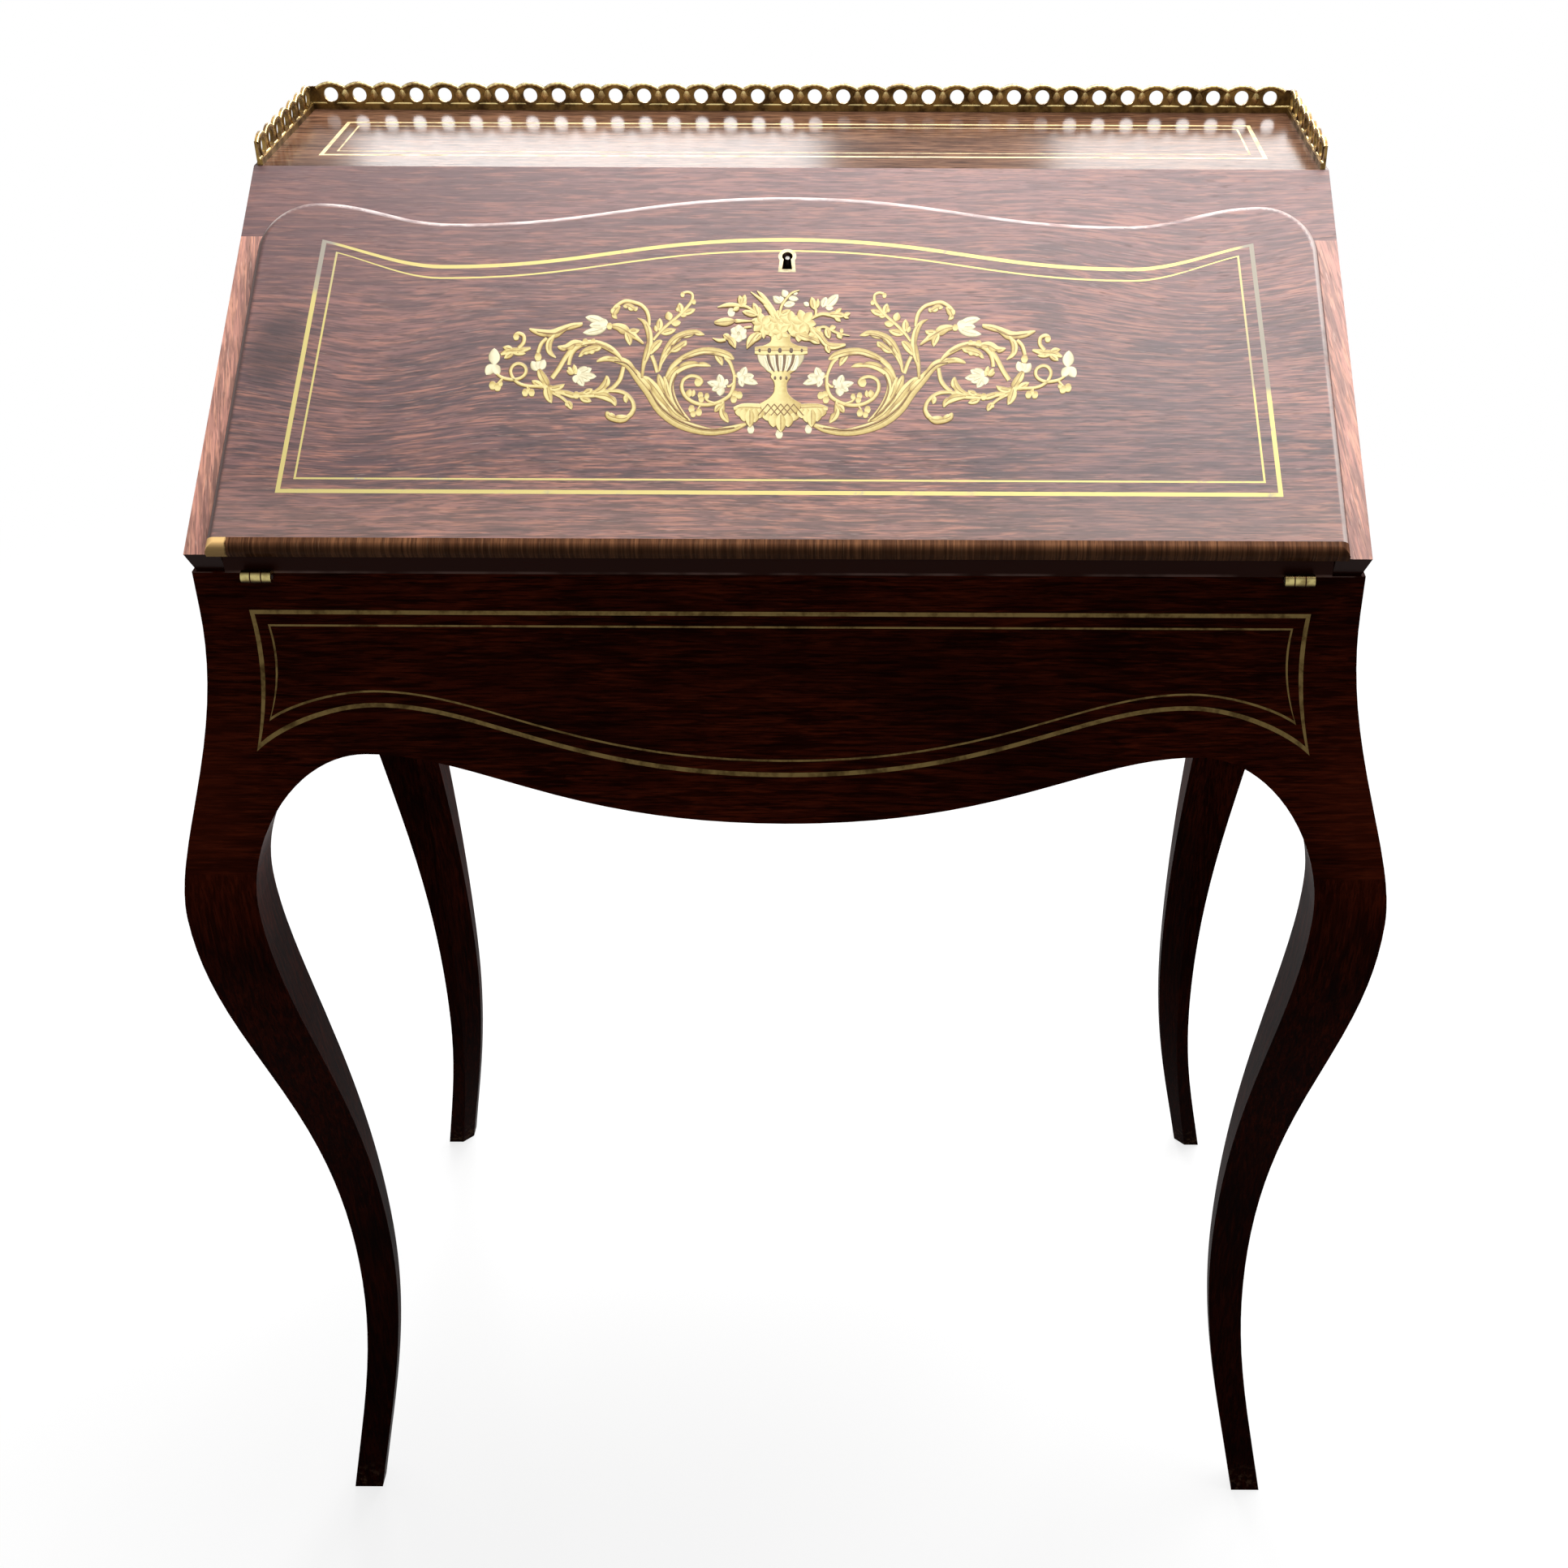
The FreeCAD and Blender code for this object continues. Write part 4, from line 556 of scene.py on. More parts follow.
def leather():
    """Red-brown writing leather with a fine pebble."""
    material, wire, shader = new_material("writing_leather")
    point = texture(wire)
    pebble = wire.make("ShaderNodeTexVoronoi", (), {"Vector": point, "Scale": PEBBLE_SCALE}, "Distance")
    patches = point.noise(*LEATHER_NOISE)
    vary, least = LEATHER_ROUGHNESS
    feed(shader, Base_Color=patches.ramp(*LEATHER_STOPS), Roughness=patches * vary + least,
         Normal=bumped(wire, pebble, *PEBBLE_DENT))
    fix(shader, Specular_IOR_Level=0.4)
    return material


def inlay_wood(name, stops):
    """Pale inlay wood, scorched darker where its shade is low, under a polish like the flap's."""
    material, wire, shader = new_material(name)
    mottle = texture(wire).noise(*MOTTLE_NOISE)
    vary, least = INLAY_ROUGHNESS
    colour = (drawn_shade(wire) + mottle * MOTTLE_SHARE - MOTTLE_SHARE / 2).ramp(*stops)
    feed(shader, Base_Color=colour, Roughness=mottle * vary + least)
    fix(shader, Specular_IOR_Level=0.05, Coat_Weight=0.5, Coat_Roughness=0.36)
    return material


FINISHES = {
    "rosewood_frame": rosewood("dark_rosewood", SHADED_FRAME_TONES, LENGTHWISE, specular=0.005, roughness=0.36,
                               change=frame_wear),
    "rosewood_flap": rosewood("streaked_rosewood", FLAP_TONES, LENGTHWISE, specular=0.05, roughness=0.36,
                              polish=0.62, change=flap_edges, swirls=SWIRLS),
    "rosewood_crossband": rosewood("crossband_rosewood", BAND_TONES, UPRIGHT, specular=0.03,
                                   roughness=0.36, change=chipped, stretch=BAND_STRETCH),
    "rosewood_top": rosewood("glossy_rosewood", TOP_TONES, LENGTHWISE, specular=0.0, roughness=0.17,
                             polish=0.25),
    "rosewood_side": rosewood("red_rosewood", SHEENED_SIDE_TONES, SLANTING, specular=0.05, roughness=0.36,
                              polish=0.6, change=side_end),
    "interior_veneer": rosewood("waxed_interior", INNER_TONES, LENGTHWISE, specular=0.3, roughness=0.40),
    "secondary_wood": rosewood("plain_oak", OAK_TONES, LENGTHWISE, specular=0.2, roughness=0.6),
    "leather": leather(),
    "brass": brass("aged_brass", rgb(0.80, 0.60, 0.24), rgb(0.34, 0.21, 0.06), (0.38, 0.74), 0.22),
    "steel": steel(),
}
LINE_BRASS = brass("line_brass", rgb(0.47, 0.39, 0.135), rgb(0.30, 0.27, 0.22), (0.58, 0.78), 0.50,
                   metallic=0.4, sides=TARNISH_SIDES)
LOCK_BRASS = brass("lock_brass", rgb(0.46, 0.40, 0.24), rgb(0.22, 0.18, 0.10), (0.44, 0.74), 0.45,
                   metallic=0.5)
TOP_BRASS = brass("top_line_brass", rgb(0.46, 0.34, 0.14), rgb(0.24, 0.18, 0.10), (0.40, 0.70), 0.50,
                  metallic=0.5)
# Tarnished brass of the apron's lines, darkened further as painted shade
SHADED_DULL_BRASS = brass("dull_brass_with_shade", rgb(0.110, 0.074, 0.026), rgb(0.040, 0.024, 0.008), (0.40, 0.70), 0.30)
# Relief brass, darkened where its painted shade is low
RELIEF_BRASS = brass("relief_brass", rgb(0.84, 0.68, 0.32), rgb(0.17, 0.105, 0.038), (0.44, 0.74), 0.24,
                     shaded=True)
HINGE_BRASS = brass("hinge_brass", rgb(0.50, 0.42, 0.17), rgb(0.20, 0.145, 0.055), (0.46, 0.74), 0.24,
                    change=knuckled)
# Tarnished brass of the gallery's plates, darkened further as painted shade
SHADED_GALLERY_BRASS = brass("gallery_brass_with_shade", rgb(0.30, 0.19, 0.06), rgb(0.07, 0.036, 0.012), (0.36, 0.66), 0.34)
SIDES = ("left", "right")
NODE_FINISHES = {
    "flap_escutcheon": LOCK_BRASS,
    "flap_stringing": LINE_BRASS,
    "top_stringing": TOP_BRASS,
    "apron_stringing": SHADED_DULL_BRASS,
    **{"gallery_" + place: SHADED_GALLERY_BRASS for place in ("back", *SIDES)},
    **{"hinge_frame_leaf_" + side: HINGE_BRASS for side in SIDES},
    **{"hinge_flap_leaf_" + side: HINGE_BRASS for side in SIDES},
}


def dress_nodes():
    """Every CAD node takes the finish of its material slot, or its own."""
    for part in frame["record"]["subparts"]:
        mesh = NODES[part["node"]].data
        mesh.materials.clear()
        mesh.materials.append(NODE_FINISHES.get(part["node"], FINISHES[part["material_slot"]]))


# Marquetry, drawn over the photograph: a stroke is a run of (x, y, width) in its pixels

SPAN_STEPS = 5
OUTLINE_PX = 1.5
FULL_OUTLINE_PX = 1.5
VEIN_PX = 0.9
VEIN_SHARE = 0.2
SHADE_SHARES = (0.0, 0.60, 0.82, 0.88, 0.92, 1.0, 0.0)
VEIN_SHADE = 0.36
VEINED_SLIMNESS = 1.8
VEINED_PX = (5.0, 16.0)
LEAF_SHARES = (0.0, 0.60, 0.94, 1.0, 0.84, 0.52, 0.0)
ROUND_SHARES = (0.0, 0.74, 0.96, 1.0, 0.96, 0.74, 0.0)
LOBE_SHARE = 0.52
LOBE_POWER = 0.6
INLAY_RISE = 0.00005
INLAY_STEP = 0.0000016
URN_PX = 962
URN_ROW_PX = 460


def branch(*points, lobes=(0, 0), tone=1.0):
    """Stem or plume along a run of (x, y, width), with a number of lobes along each edge."""
    return points, lobes, tone


def leaf(base, tip, width, lobes=0, bend=0.0, tone=1.0, shares=LEAF_SHARES):
    """Leaf or petal from base to tip, bowed sideways by a share of its length."""
    run = Vector(tip) - Vector(base)
    side = Vector((-run.y, run.x))
    points = []
    for index, share in enumerate(shares):
        along = index / (len(shares) - 1)
        spot = Vector(base) + run * along + side * bend * along * (1 - along)
        points.append((spot.x, spot.y, width * share))
    return points, (lobes, lobes), tone


def bead(x, y, radius, tone=1.0):
    """Round bead."""
    return leaf((x - radius, y), (x + radius, y), 2 * radius, tone=tone, shares=ROUND_SHARES)


def flower(x, y, reach, width, petals, first=0.0):
    """Ring of petals."""
    turns = [first + index * math.tau / petals for index in range(petals)]
    tips = [(x + reach * math.cos(turn), y + reach * math.sin(turn)) for turn in turns]
    return [leaf((x, y), tip, width) for tip in tips]


BOXWOOD_SCROLLS = [
    # Main acanthus stem and its overlapping leaves
    branch((919, 522, 3), (900, 529, 7), (870, 531, 9), (838, 522, 11), (815, 505, 12), (800, 482, 12),
           (787, 466, 10), (775, 450, 9), (760, 443, 7), (747, 442, 5), (735, 445, 2), lobes=(0, 6)),
    branch((846, 518, 2), (832, 510, 8), (818, 493, 10), (807, 478, 9), (797, 467, 5), (791, 465, 1),
           lobes=(3, 0)),
    branch((850, 519, 2), (836, 506, 8), (827, 490, 10), (824, 474, 10), (829, 460, 9), (840, 452, 8),
           (855, 448, 6), (868, 449, 4), (876, 451, 1), lobes=(5, 0)),
    branch((838, 508, 2), (824, 492, 7), (815, 474, 8), (811, 461, 3), lobes=(2, 2)),
    branch((830, 498, 1), (823, 484, 6), (820, 470, 4), (818, 464, 1)),
    # Inner scroll with its thin spiral
    branch((820, 466, 2), (828, 452, 4), (840, 442, 5), (855, 435, 6), (870, 432, 7), (885, 434, 8),
           (897, 438, 7), (904, 443, 2), lobes=(0, 3)),
    leaf((880, 436), (890, 451), 6, bend=-0.4),
    branch((893, 441, 2), (899, 446, 3), (903, 456, 2.5), (905, 464, 2.5), (904, 476, 3), (900, 486, 3),
           (893, 492, 3), (882, 497, 3), (868, 499, 3), (855, 496, 3), (845, 489, 3), (840, 479, 3),
           (841, 470, 2.6), (846, 465, 2.6), (853, 463, 2.6), (861, 465, 2.6), (865, 470, 2.4),
           (862, 475, 2)),
    bead(860, 471, 4.5), branch((904, 472, 2), (899, 476, 2), (896, 476, 2)),
    branch((904, 462, 2), (909, 464, 2)), leaf((848, 490), (850, 479), 7, 1),
    leaf((853, 489), (855, 480), 4), bead(906, 486, 4), bead(911, 487, 4), bead(904, 492, 4),
    bead(863, 487, 3.5), bead(864, 492, 3.5), bead(871, 488, 3),
    branch((880, 497, 2), (872, 494, 2), (868, 489, 2)), branch((863, 500, 1.5), (860, 504, 1.5)),
    bead(852, 504, 4), bead(854, 510, 3.5), bead(861, 508, 4),
    branch((892, 493, 1), (890, 503, 5), (892, 512, 8), (898, 520, 2), lobes=(2, 0)),
    branch((892, 497, 1), (885, 502, 6), (881, 508, 3), lobes=(1, 1)),
    # Plume and upright stem
    branch((812, 458, 2), (815, 445, 3), (822, 430, 6), (832, 418, 8), (845, 412, 8), (858, 410, 6),
           (868, 413, 1), lobes=(0, 5)),
    branch((812, 455, 1), (822, 436, 3), (833, 430, 6), (842, 424, 6), (846, 420, 1), lobes=(0, 3)),
    branch((791, 466, 4), (793, 450, 4), (796, 440, 6), (799, 428, 8), (800, 415, 7), (798, 404, 6),
           (793, 396, 4), (785, 392, 1), lobes=(2, 1)),
    branch((801, 436, 2), (806, 428, 8), (812, 422, 6), (816, 420, 1)),
    branch((803, 438, 3), (807, 448, 3), (810, 459, 3)),
    # Leafy spray
    branch((805, 419, 2), (813, 409, 2.5), (825, 398, 2.5), (836, 389, 2.5), (845, 380, 2.5),
           (852, 371, 2.5), (853, 363, 2.2), (848, 360, 2.2), (842, 361, 2)),
    bead(841, 363, 2.6), leaf((812, 408), (813, 392), 7), leaf((809, 409), (807, 401), 4),
    leaf((825, 395), (823, 384), 8), leaf((839, 386), (837, 373), 7), leaf((835, 384), (834, 379), 3),
    leaf((841, 387), (857, 381), 6), leaf((827, 399), (839, 397), 7), leaf((814, 411), (833, 406), 7),
    bead(855, 372, 2.6), leaf((838, 389), (846, 389), 3),
    # Top scroll
    branch((800, 401, 2), (799, 390, 3), (796, 382, 3), (790, 376, 3), (782, 373, 3), (772, 371, 3),
           (764, 374, 3), (757, 380, 3), (754, 386, 2)),
    branch((768, 378, 2), (774, 377, 6), (781, 381, 6), (786, 379, 1), lobes=(0, 3)),
    branch((764, 377, 2), (759, 381, 8), (756, 387, 7), (760, 393, 1), lobes=(0, 3)),
    # Tulip branch
    branch((793, 424, 3), (785, 417, 4), (778, 412, 9), (770, 407, 12), (762, 403, 8), (753, 402, 6),
           lobes=(2, 2)),
    leaf((774, 407), (788, 406), 6, bend=0.5), leaf((770, 409), (776, 426), 7, bend=-0.4),
    bead(751, 402, 3.5),
    branch((718, 400, 4), (705, 402, 6), (692, 407, 8), (680, 412, 10), (666, 410, 7), (652, 406, 2),
           lobes=(3, 0)),
    branch((684, 412, 2), (677, 422, 6), (677, 433, 5), (685, 441, 1)),
    branch((674, 417, 3), (667, 424, 3), (663, 435, 3)), bead(663, 440, 4.4),
    branch((664, 455, 6), (669, 466, 9), (675, 476, 11), (683, 483, 7), (692, 486, 2), lobes=(2, 3)),
    leaf((674, 478), (696, 473), 6, bend=0.5), leaf((674, 474), (680, 497), 9, bend=0.3),
    leaf((670, 478), (655, 469), 7),
    # Middle scroll
    branch((680, 466, 4), (688, 455, 4), (697, 440, 4), (704, 431, 4)),
    branch((766, 443, 2), (760, 436, 4), (752, 430, 6), (742, 425, 6), (730, 422, 5), (718, 424, 5),
           (708, 431, 4), (703, 440, 3), (701, 450, 3)),
    branch((718, 423, 3), (708, 424, 9), (698, 429, 8), (687, 428, 2), lobes=(3, 0)),
    branch((713, 440, 1), (720, 434, 6), (730, 431, 9), (741, 428, 2), lobes=(0, 4)), bead(721, 422, 4),
    bead(731, 421, 3), leaf((708, 460), (698, 457), 6), leaf((709, 462), (707, 449), 5),
    leaf((704, 459), (700, 452), 4),
    # Left tendril with its loop
    branch((668, 476, 3), (652, 476, 2.6), (640, 473, 2.6), (632, 466, 2.6), (629, 457, 2.6),
           (633, 450, 2.6), (640, 448, 2.6), (647, 452, 2.6), (648, 459, 2.6), (643, 465, 2.6),
           (633, 468, 2.6), (620, 466, 2.6), (612, 461, 2)),
    branch((619, 467, 2), (614, 473, 2.4)), bead(607, 475, 4.6), bead(613, 477, 4.4), bead(617, 473, 2.6),
    branch((650, 476, 2), (651, 481, 2)), bead(647, 484, 4), bead(651, 481, 2.8), bead(655, 484, 4),
    # Lower stem
    branch((684, 483, 2), (695, 484, 5), (705, 487, 6), (709, 487, 3)), bead(710, 487, 3.8),
    branch((713, 487, 5), (722, 486, 7), (735, 485, 7), (750, 482, 3)),
    leaf((718, 484), (730, 479), 6, bend=0.4), leaf((714, 490), (729, 495), 6),
    branch((730, 485, 3), (741, 480, 8), (747, 472, 8), (748, 463, 2), lobes=(0, 2)),
    branch((732, 487, 3), (746, 488, 9), (755, 493, 7), (759, 500, 2), lobes=(2, 0)),
    branch((750, 481, 3), (757, 476, 3.4), (764, 467, 3.6), (768, 452, 3)),
    branch((750, 482, 2), (762, 482, 3), (772, 486, 3), (779, 494, 3), (781, 503, 3.4), (777, 511, 4),
           (770, 516, 3)),
    leaf((772, 486), (772, 497), 5, bend=0.3),
    branch((776, 513, 2), (768, 516, 8), (758, 515, 9), (750, 512, 7), (748, 507, 2), lobes=(0, 2)),
    branch((684, 486, 2), (692, 490, 2.4), (699, 496, 2.4)), leaf((698, 494), (704, 505), 6, bend=-0.3),
    bead(698, 498, 2),
    # Palmette at the end
    branch((617, 437, 2), (627, 433, 6), (640, 432, 6), (654, 429, 2)),
    leaf((633, 431), (619, 428), 6, 1), leaf((633, 434), (621, 442), 6), leaf((630, 434), (648, 436), 5),
    branch((639, 429, 3), (645, 422, 3), (645, 414, 3), (639, 411, 3), (634, 413, 2)),
    bead(636, 415, 3.8),
]

IVORY_SCROLLS = [
    # Tulip
    leaf((748, 402), (721, 391), 9, bend=0.3), leaf((748, 403), (718, 410), 8, bend=-0.2),
    leaf((748, 401), (726, 401), 9), leaf((749, 402), (738, 393), 8), bead(743, 398, 4.6),
    # Three petals under the bead, half daisy, ivy leaf and vine leaves
    leaf((662, 457), (655, 445), 8), leaf((664, 456), (663, 443), 8), leaf((665, 456), (671, 443), 8),
    *[leaf((711, 462), tip, 8)
      for tip in ((723, 452), (729, 454), (735, 464), (727, 469), (719, 476), (709, 472), (713, 455))],
    leaf((609, 450), (609, 429), 12), leaf((608, 449), (599, 462), 10), leaf((608, 449), (615, 462), 9),
    leaf((895, 477), (871, 471), 8), leaf((889, 476), (886, 461), 8), leaf((892, 475), (896, 467), 5),
    leaf((888, 475), (887, 488), 9), leaf((889, 476), (877, 481), 7), leaf((892, 476), (879, 473), 9, 2),
    leaf((908, 464), (934, 473), 8), leaf((913, 466), (919, 452), 8), leaf((912, 465), (915, 477), 6),
    leaf((911, 465), (910, 458), 5), leaf((914, 466), (929, 463), 8), leaf((910, 465), (925, 468), 9, 2),
]

BOXWOOD_MIDDLE = [
    # Urn from its neck to its foot, then the brackets and the fringe under it
    branch((URN_PX, 412, 26), (URN_PX, 418, 22), (URN_PX, 423, 28), (URN_PX, 428, 52)),
    branch((930, 432, 7), (940, 432, 10), (URN_PX, 432, 10), (984, 432, 10), (995, 432, 7), tone=0.95),
    branch((URN_PX, 457, 34), (URN_PX, 461, 22), (URN_PX, 465, 23), (URN_PX, 471, 15), (URN_PX, 478, 13)),
    branch((URN_PX, 477, 14), (URN_PX, 484, 16), (URN_PX, 491, 28), (URN_PX, 497, 48)),
    branch((URN_PX, 497, 50), (URN_PX, 504, 46), (URN_PX, 511, 30), (URN_PX, 515, 12)),
    *[branch((URN_PX + side * 25, 503, 9), (URN_PX + side * 45, 502, 8), (URN_PX + side * 58, 504, 3))
      for side in (-1, 1)],
    *[leaf((URN_PX + side * x, 503), (URN_PX + side * x, low), 11)
      for side in (-1, 1) for x, low in ((26, 516), (50, 514), (32, 521), (45, 520), (38, 527))],
    *[leaf((URN_PX + x, 509), (URN_PX + x, low), 12)
      for x, low in ((-16, 519), (16, 519), (-9, 527), (9, 527), (0, 533))],
    # Flowers over the rim
    *flower(939, 399, 14, 9, 6, 0.3), *flower(960, 397, 15, 9, 7, 0.1), *flower(975, 398, 15, 9, 6, 0.5),
    *flower(949, 407, 9, 7, 5), *flower(990, 397, 16, 10, 6, 0.2), *flower(962, 409, 11, 7, 5, 0.6),
    *flower(985, 410, 12, 8, 5, 0.4), *flower(1005, 411, 10, 7, 5, 0.2),
    # Grass blades and sprays at the left
    branch((960, 394, 2), (950, 380, 5), (940, 366, 4), (933, 359, 1)),
    branch((954, 392, 2), (945, 376, 4), (925, 360, 1)),
    branch((952, 391, 2), (947, 381, 4), (941, 376, 1)), leaf((935, 391), (928, 373), 7),
    leaf((934, 389), (914, 384), 7), branch((935, 393, 2), (937, 383, 2), (935, 379, 1)),
    branch((932, 386, 2), (921, 379, 2.4), (912, 377, 3), (898, 376, 4), (884, 379, 1)),
    leaf((914, 378), (911, 364), 6), leaf((914, 378), (918, 363), 6), leaf((914, 377), (920, 372), 4),
    leaf((911, 379), (903, 383), 5),
    branch((930, 396, 2), (912, 396, 3), (905, 396, 6), (893, 397, 9), (880, 398, 5), lobes=(2, 2)),
    branch((926, 403, 2), (917, 404, 2)),
    branch((906, 430, 1), (902, 421, 8), (895, 415, 7), (891, 413, 2), lobes=(2, 2)),
    branch((894, 419, 3), (886, 420, 3), (878, 417, 1)), leaf((936, 409), (920, 431), 9, 1, 0.3),
    leaf((939, 410), (928, 422), 6), leaf((941, 408), (941, 418), 4),
    # Sprays at the right
    branch((960, 390, 2), (963, 377, 2.4), (970, 367, 2), (976, 361, 2), (985, 358, 1)),
    leaf((961, 389), (974, 382), 6),
    branch((1000, 393, 2), (1006, 389, 3), (1014, 387, 3), (1022, 388, 4)),
    branch((1021, 388, 3), (1030, 388, 8), (1040, 389, 3)), leaf((1028, 387), (1037, 380), 4),
    leaf((1028, 390), (1036, 397), 4), leaf((1039, 389), (1048, 386), 4),
    leaf((1039, 389), (1046, 393), 3), branch((1005, 390, 2), (1005, 382, 2.4), (1003, 379, 2)),
    leaf((1003, 382), (1000, 366), 7), leaf((1006, 381), (1008, 368), 4),
    branch((1008, 405, 2), (1015, 403, 2.4), (1022, 406, 2.4), (1033, 411, 2.4), (1047, 414, 1)),
    leaf((1018, 404), (1022, 418), 7), leaf((1022, 405), (1030, 403), 5),
    leaf((1032, 410), (1037, 418), 6), bead(1037, 408, 2.4),
    branch((1000, 405, 4), (1010, 414, 6), (1018, 424, 6), (1027, 427, 7), (1042, 425, 2)),
    leaf((1018, 424), (1022, 436), 6),
    branch((980, 412, 3), (992, 416, 8), (1004, 420, 7), (1010, 424, 2), lobes=(2, 2)),
]

IVORY_MIDDLE = [
    # Bowl with its flutes
    branch((URN_PX, 437, 56), (URN_PX, 444, 53), (URN_PX, 451, 44), (URN_PX, 458, 26), tone=0.72),
    *[leaf((URN_PX + 0.62 * x, 459), (URN_PX + x, 436), 9) for x in (-21, -10.5, 0, 10.5, 21)],
    bead(925, 529, 4.4), bead(960, 535, 4.6), bead(996, 529, 4.4), bead(901, 385, 4.6),
    *flower(910, 411, 11, 9, 6, 0.5), bead(910, 411, 2.4, 0.5), bead(940, 399, 2.6), bead(985, 397, 2.4),
    leaf((963, 374), (952, 365), 7, 1), leaf((964, 373), (961, 365), 5),
    leaf((970, 367), (964, 357), 7, 1), leaf((965, 376), (980, 374), 6), leaf((971, 367), (984, 369), 5),
    leaf((977, 360), (983, 362), 4), leaf((1013, 379), (1018, 366), 7), leaf((1018, 378), (1033, 363), 9),
    leaf((1017, 379), (1027, 380), 5), leaf((997, 377), (990, 373), 4),
]

ENGRAVED_SCROLLS = [
    branch((905, 527, 1.0), (870, 529, 1.4), (838, 519, 1.4), (815, 502, 1.4), (800, 480, 1.0),
           tone=0.40),
    branch((848, 517, 1.0), (831, 503, 1.4), (818, 484, 1.0), tone=0.40),
    branch((843, 512, 1.0), (832, 494, 1.4), (828, 476, 1.2), (834, 460, 1.0), tone=0.40),
    branch((785, 462, 0.8), (772, 448, 1.2), (757, 445, 0.8), tone=0.45),
    branch((716, 426, 0.8), (735, 424, 1.2), (755, 433, 0.8), tone=0.45),
    branch((822, 437, 0.8), (838, 417, 1.2), (856, 412, 0.8), tone=0.45),
    branch((840, 444, 0.8), (868, 436, 1.2), (892, 440, 0.8), tone=0.45),
    branch((700, 404, 0.8), (684, 411, 1.2), (662, 409, 0.8), tone=0.45),
]

DARK_LINES = [
    *[bead(x, 432, radius, 0.10)
      for x, radius in ((936, 1.6), (948, 2.4), (961, 2.4), (975, 2.4), (988, 1.6))],
    *[branch((URN_PX + x, 498, 0.9), (URN_PX + x + lean, 512, 0.9), tone=0.40)
      for lean in (-12, 12) for x in (-16, -8, 0, 8, 16)],
    *[bead(URN_PX + x, 466, 1.6, 0.15) for x in (-7, 0, 7)],
    *[branch((URN_PX + 0.5 * x, 458, 1.2), (URN_PX + 0.85 * x, 448, 1.8), (URN_PX + x, 437, 2.0),
             tone=0.2)
      for x in (-16, -5, 5, 16)],
]


def smooth(points):
    """Spots along a smooth curve through all the points, as (x, y, width)."""
    ends = [Vector(point) for point in (points[0], *points, points[-1])]
    spots = []
    for a, b, c, d in zip(ends, ends[1:], ends[2:], ends[3:]):
        for step in range(SPAN_STEPS):
            t = step / SPAN_STEPS
            bend = (2 * a - 5 * b + 4 * c - d) * t ** 2 + (3 * b - a - 3 * c + d) * t ** 3
            spots.append(b + ((c - a) * t + bend) / 2)
    return spots + [ends[-1]]


def lobed(along, count):
    """Width share at a place along an edge with a number of lobes."""
    if not count:
        return 1
    return 1 - LOBE_SHARE * (1 - abs(math.sin(math.pi * along * count)) ** LOBE_POWER)


def camera_axes():
    """Directions of the picture's right, up and depth."""
    ahead = Vector((0, math.cos(CAMERA_PITCH), -math.sin(CAMERA_PITCH)))
    up = RIGHT.cross(ahead)
    right = RIGHT * math.cos(CAMERA_ROLL) + up * math.sin(CAMERA_ROLL)
    return right, right.cross(ahead), ahead


def on_flap(pixel, rise):
    """Point over the flap's face that the photograph shows at a pixel."""
    right, up, ahead = camera_axes()
    ray = right * (pixel.x - CENTRE_PX[0]) + up * (CENTRE_PX[1] - pixel.y) + ahead * FOCAL_PX
    reach = (FLAP_FACE - CAMERA_PLACE.dot(FLAP_OUT)) / ray.dot(FLAP_OUT)
    return CAMERA_PLACE + ray * reach + FLAP_OUT * rise


def add_object(name, data):
    """Put a mesh, lamp or camera into the scene."""
    made = bpy.data.objects.new(name, data)
    bpy.context.scene.collection.objects.link(made)
    return made


def run_at(path, index):
    """Direction of a path at one of its points."""
    return path[min(index + 1, len(path) - 1)] - path[max(index - 1, 0)]


class Shaded:
    """Mesh gathered as strips of vertices, each vertex with a shade."""

    def __init__(self):
        self.vertices = []
        self.shades = []
        self.faces = []

    def strip(self, rows, shades, closed=False):
        """Join rows of equally many points into faces; a closed strip also joins each row's two ends."""
        first = len(self.vertices)
        count = len(rows[0])
        for row, row_shades in zip(rows, shades):
            self.vertices.extend(row)
            self.shades.extend(row_shades)
        for line in range(len(rows) - 1):
            here = first + line * count
            there = here + count
            for index in range(count if closed else count - 1):
                after = (index + 1) % count
                self.faces.append((here + index, here + after, there + after, there + index))

    def piece(self, name, material, body, rounded):
        """Make the object, with its edges shaded round or flat, and let it ride on a body."""
        mesh = bpy.data.meshes.new(name)
        mesh.from_pydata(self.vertices, [], self.faces)
        mesh.attributes.new("shade", "FLOAT", "POINT").data.foreach_set("value", self.shades)
        mesh.materials.append(material)
        mesh.polygons.foreach_set("use_smooth", [rounded] * len(self.faces))
        made = add_object(name, mesh)
        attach(made, body)
        return made


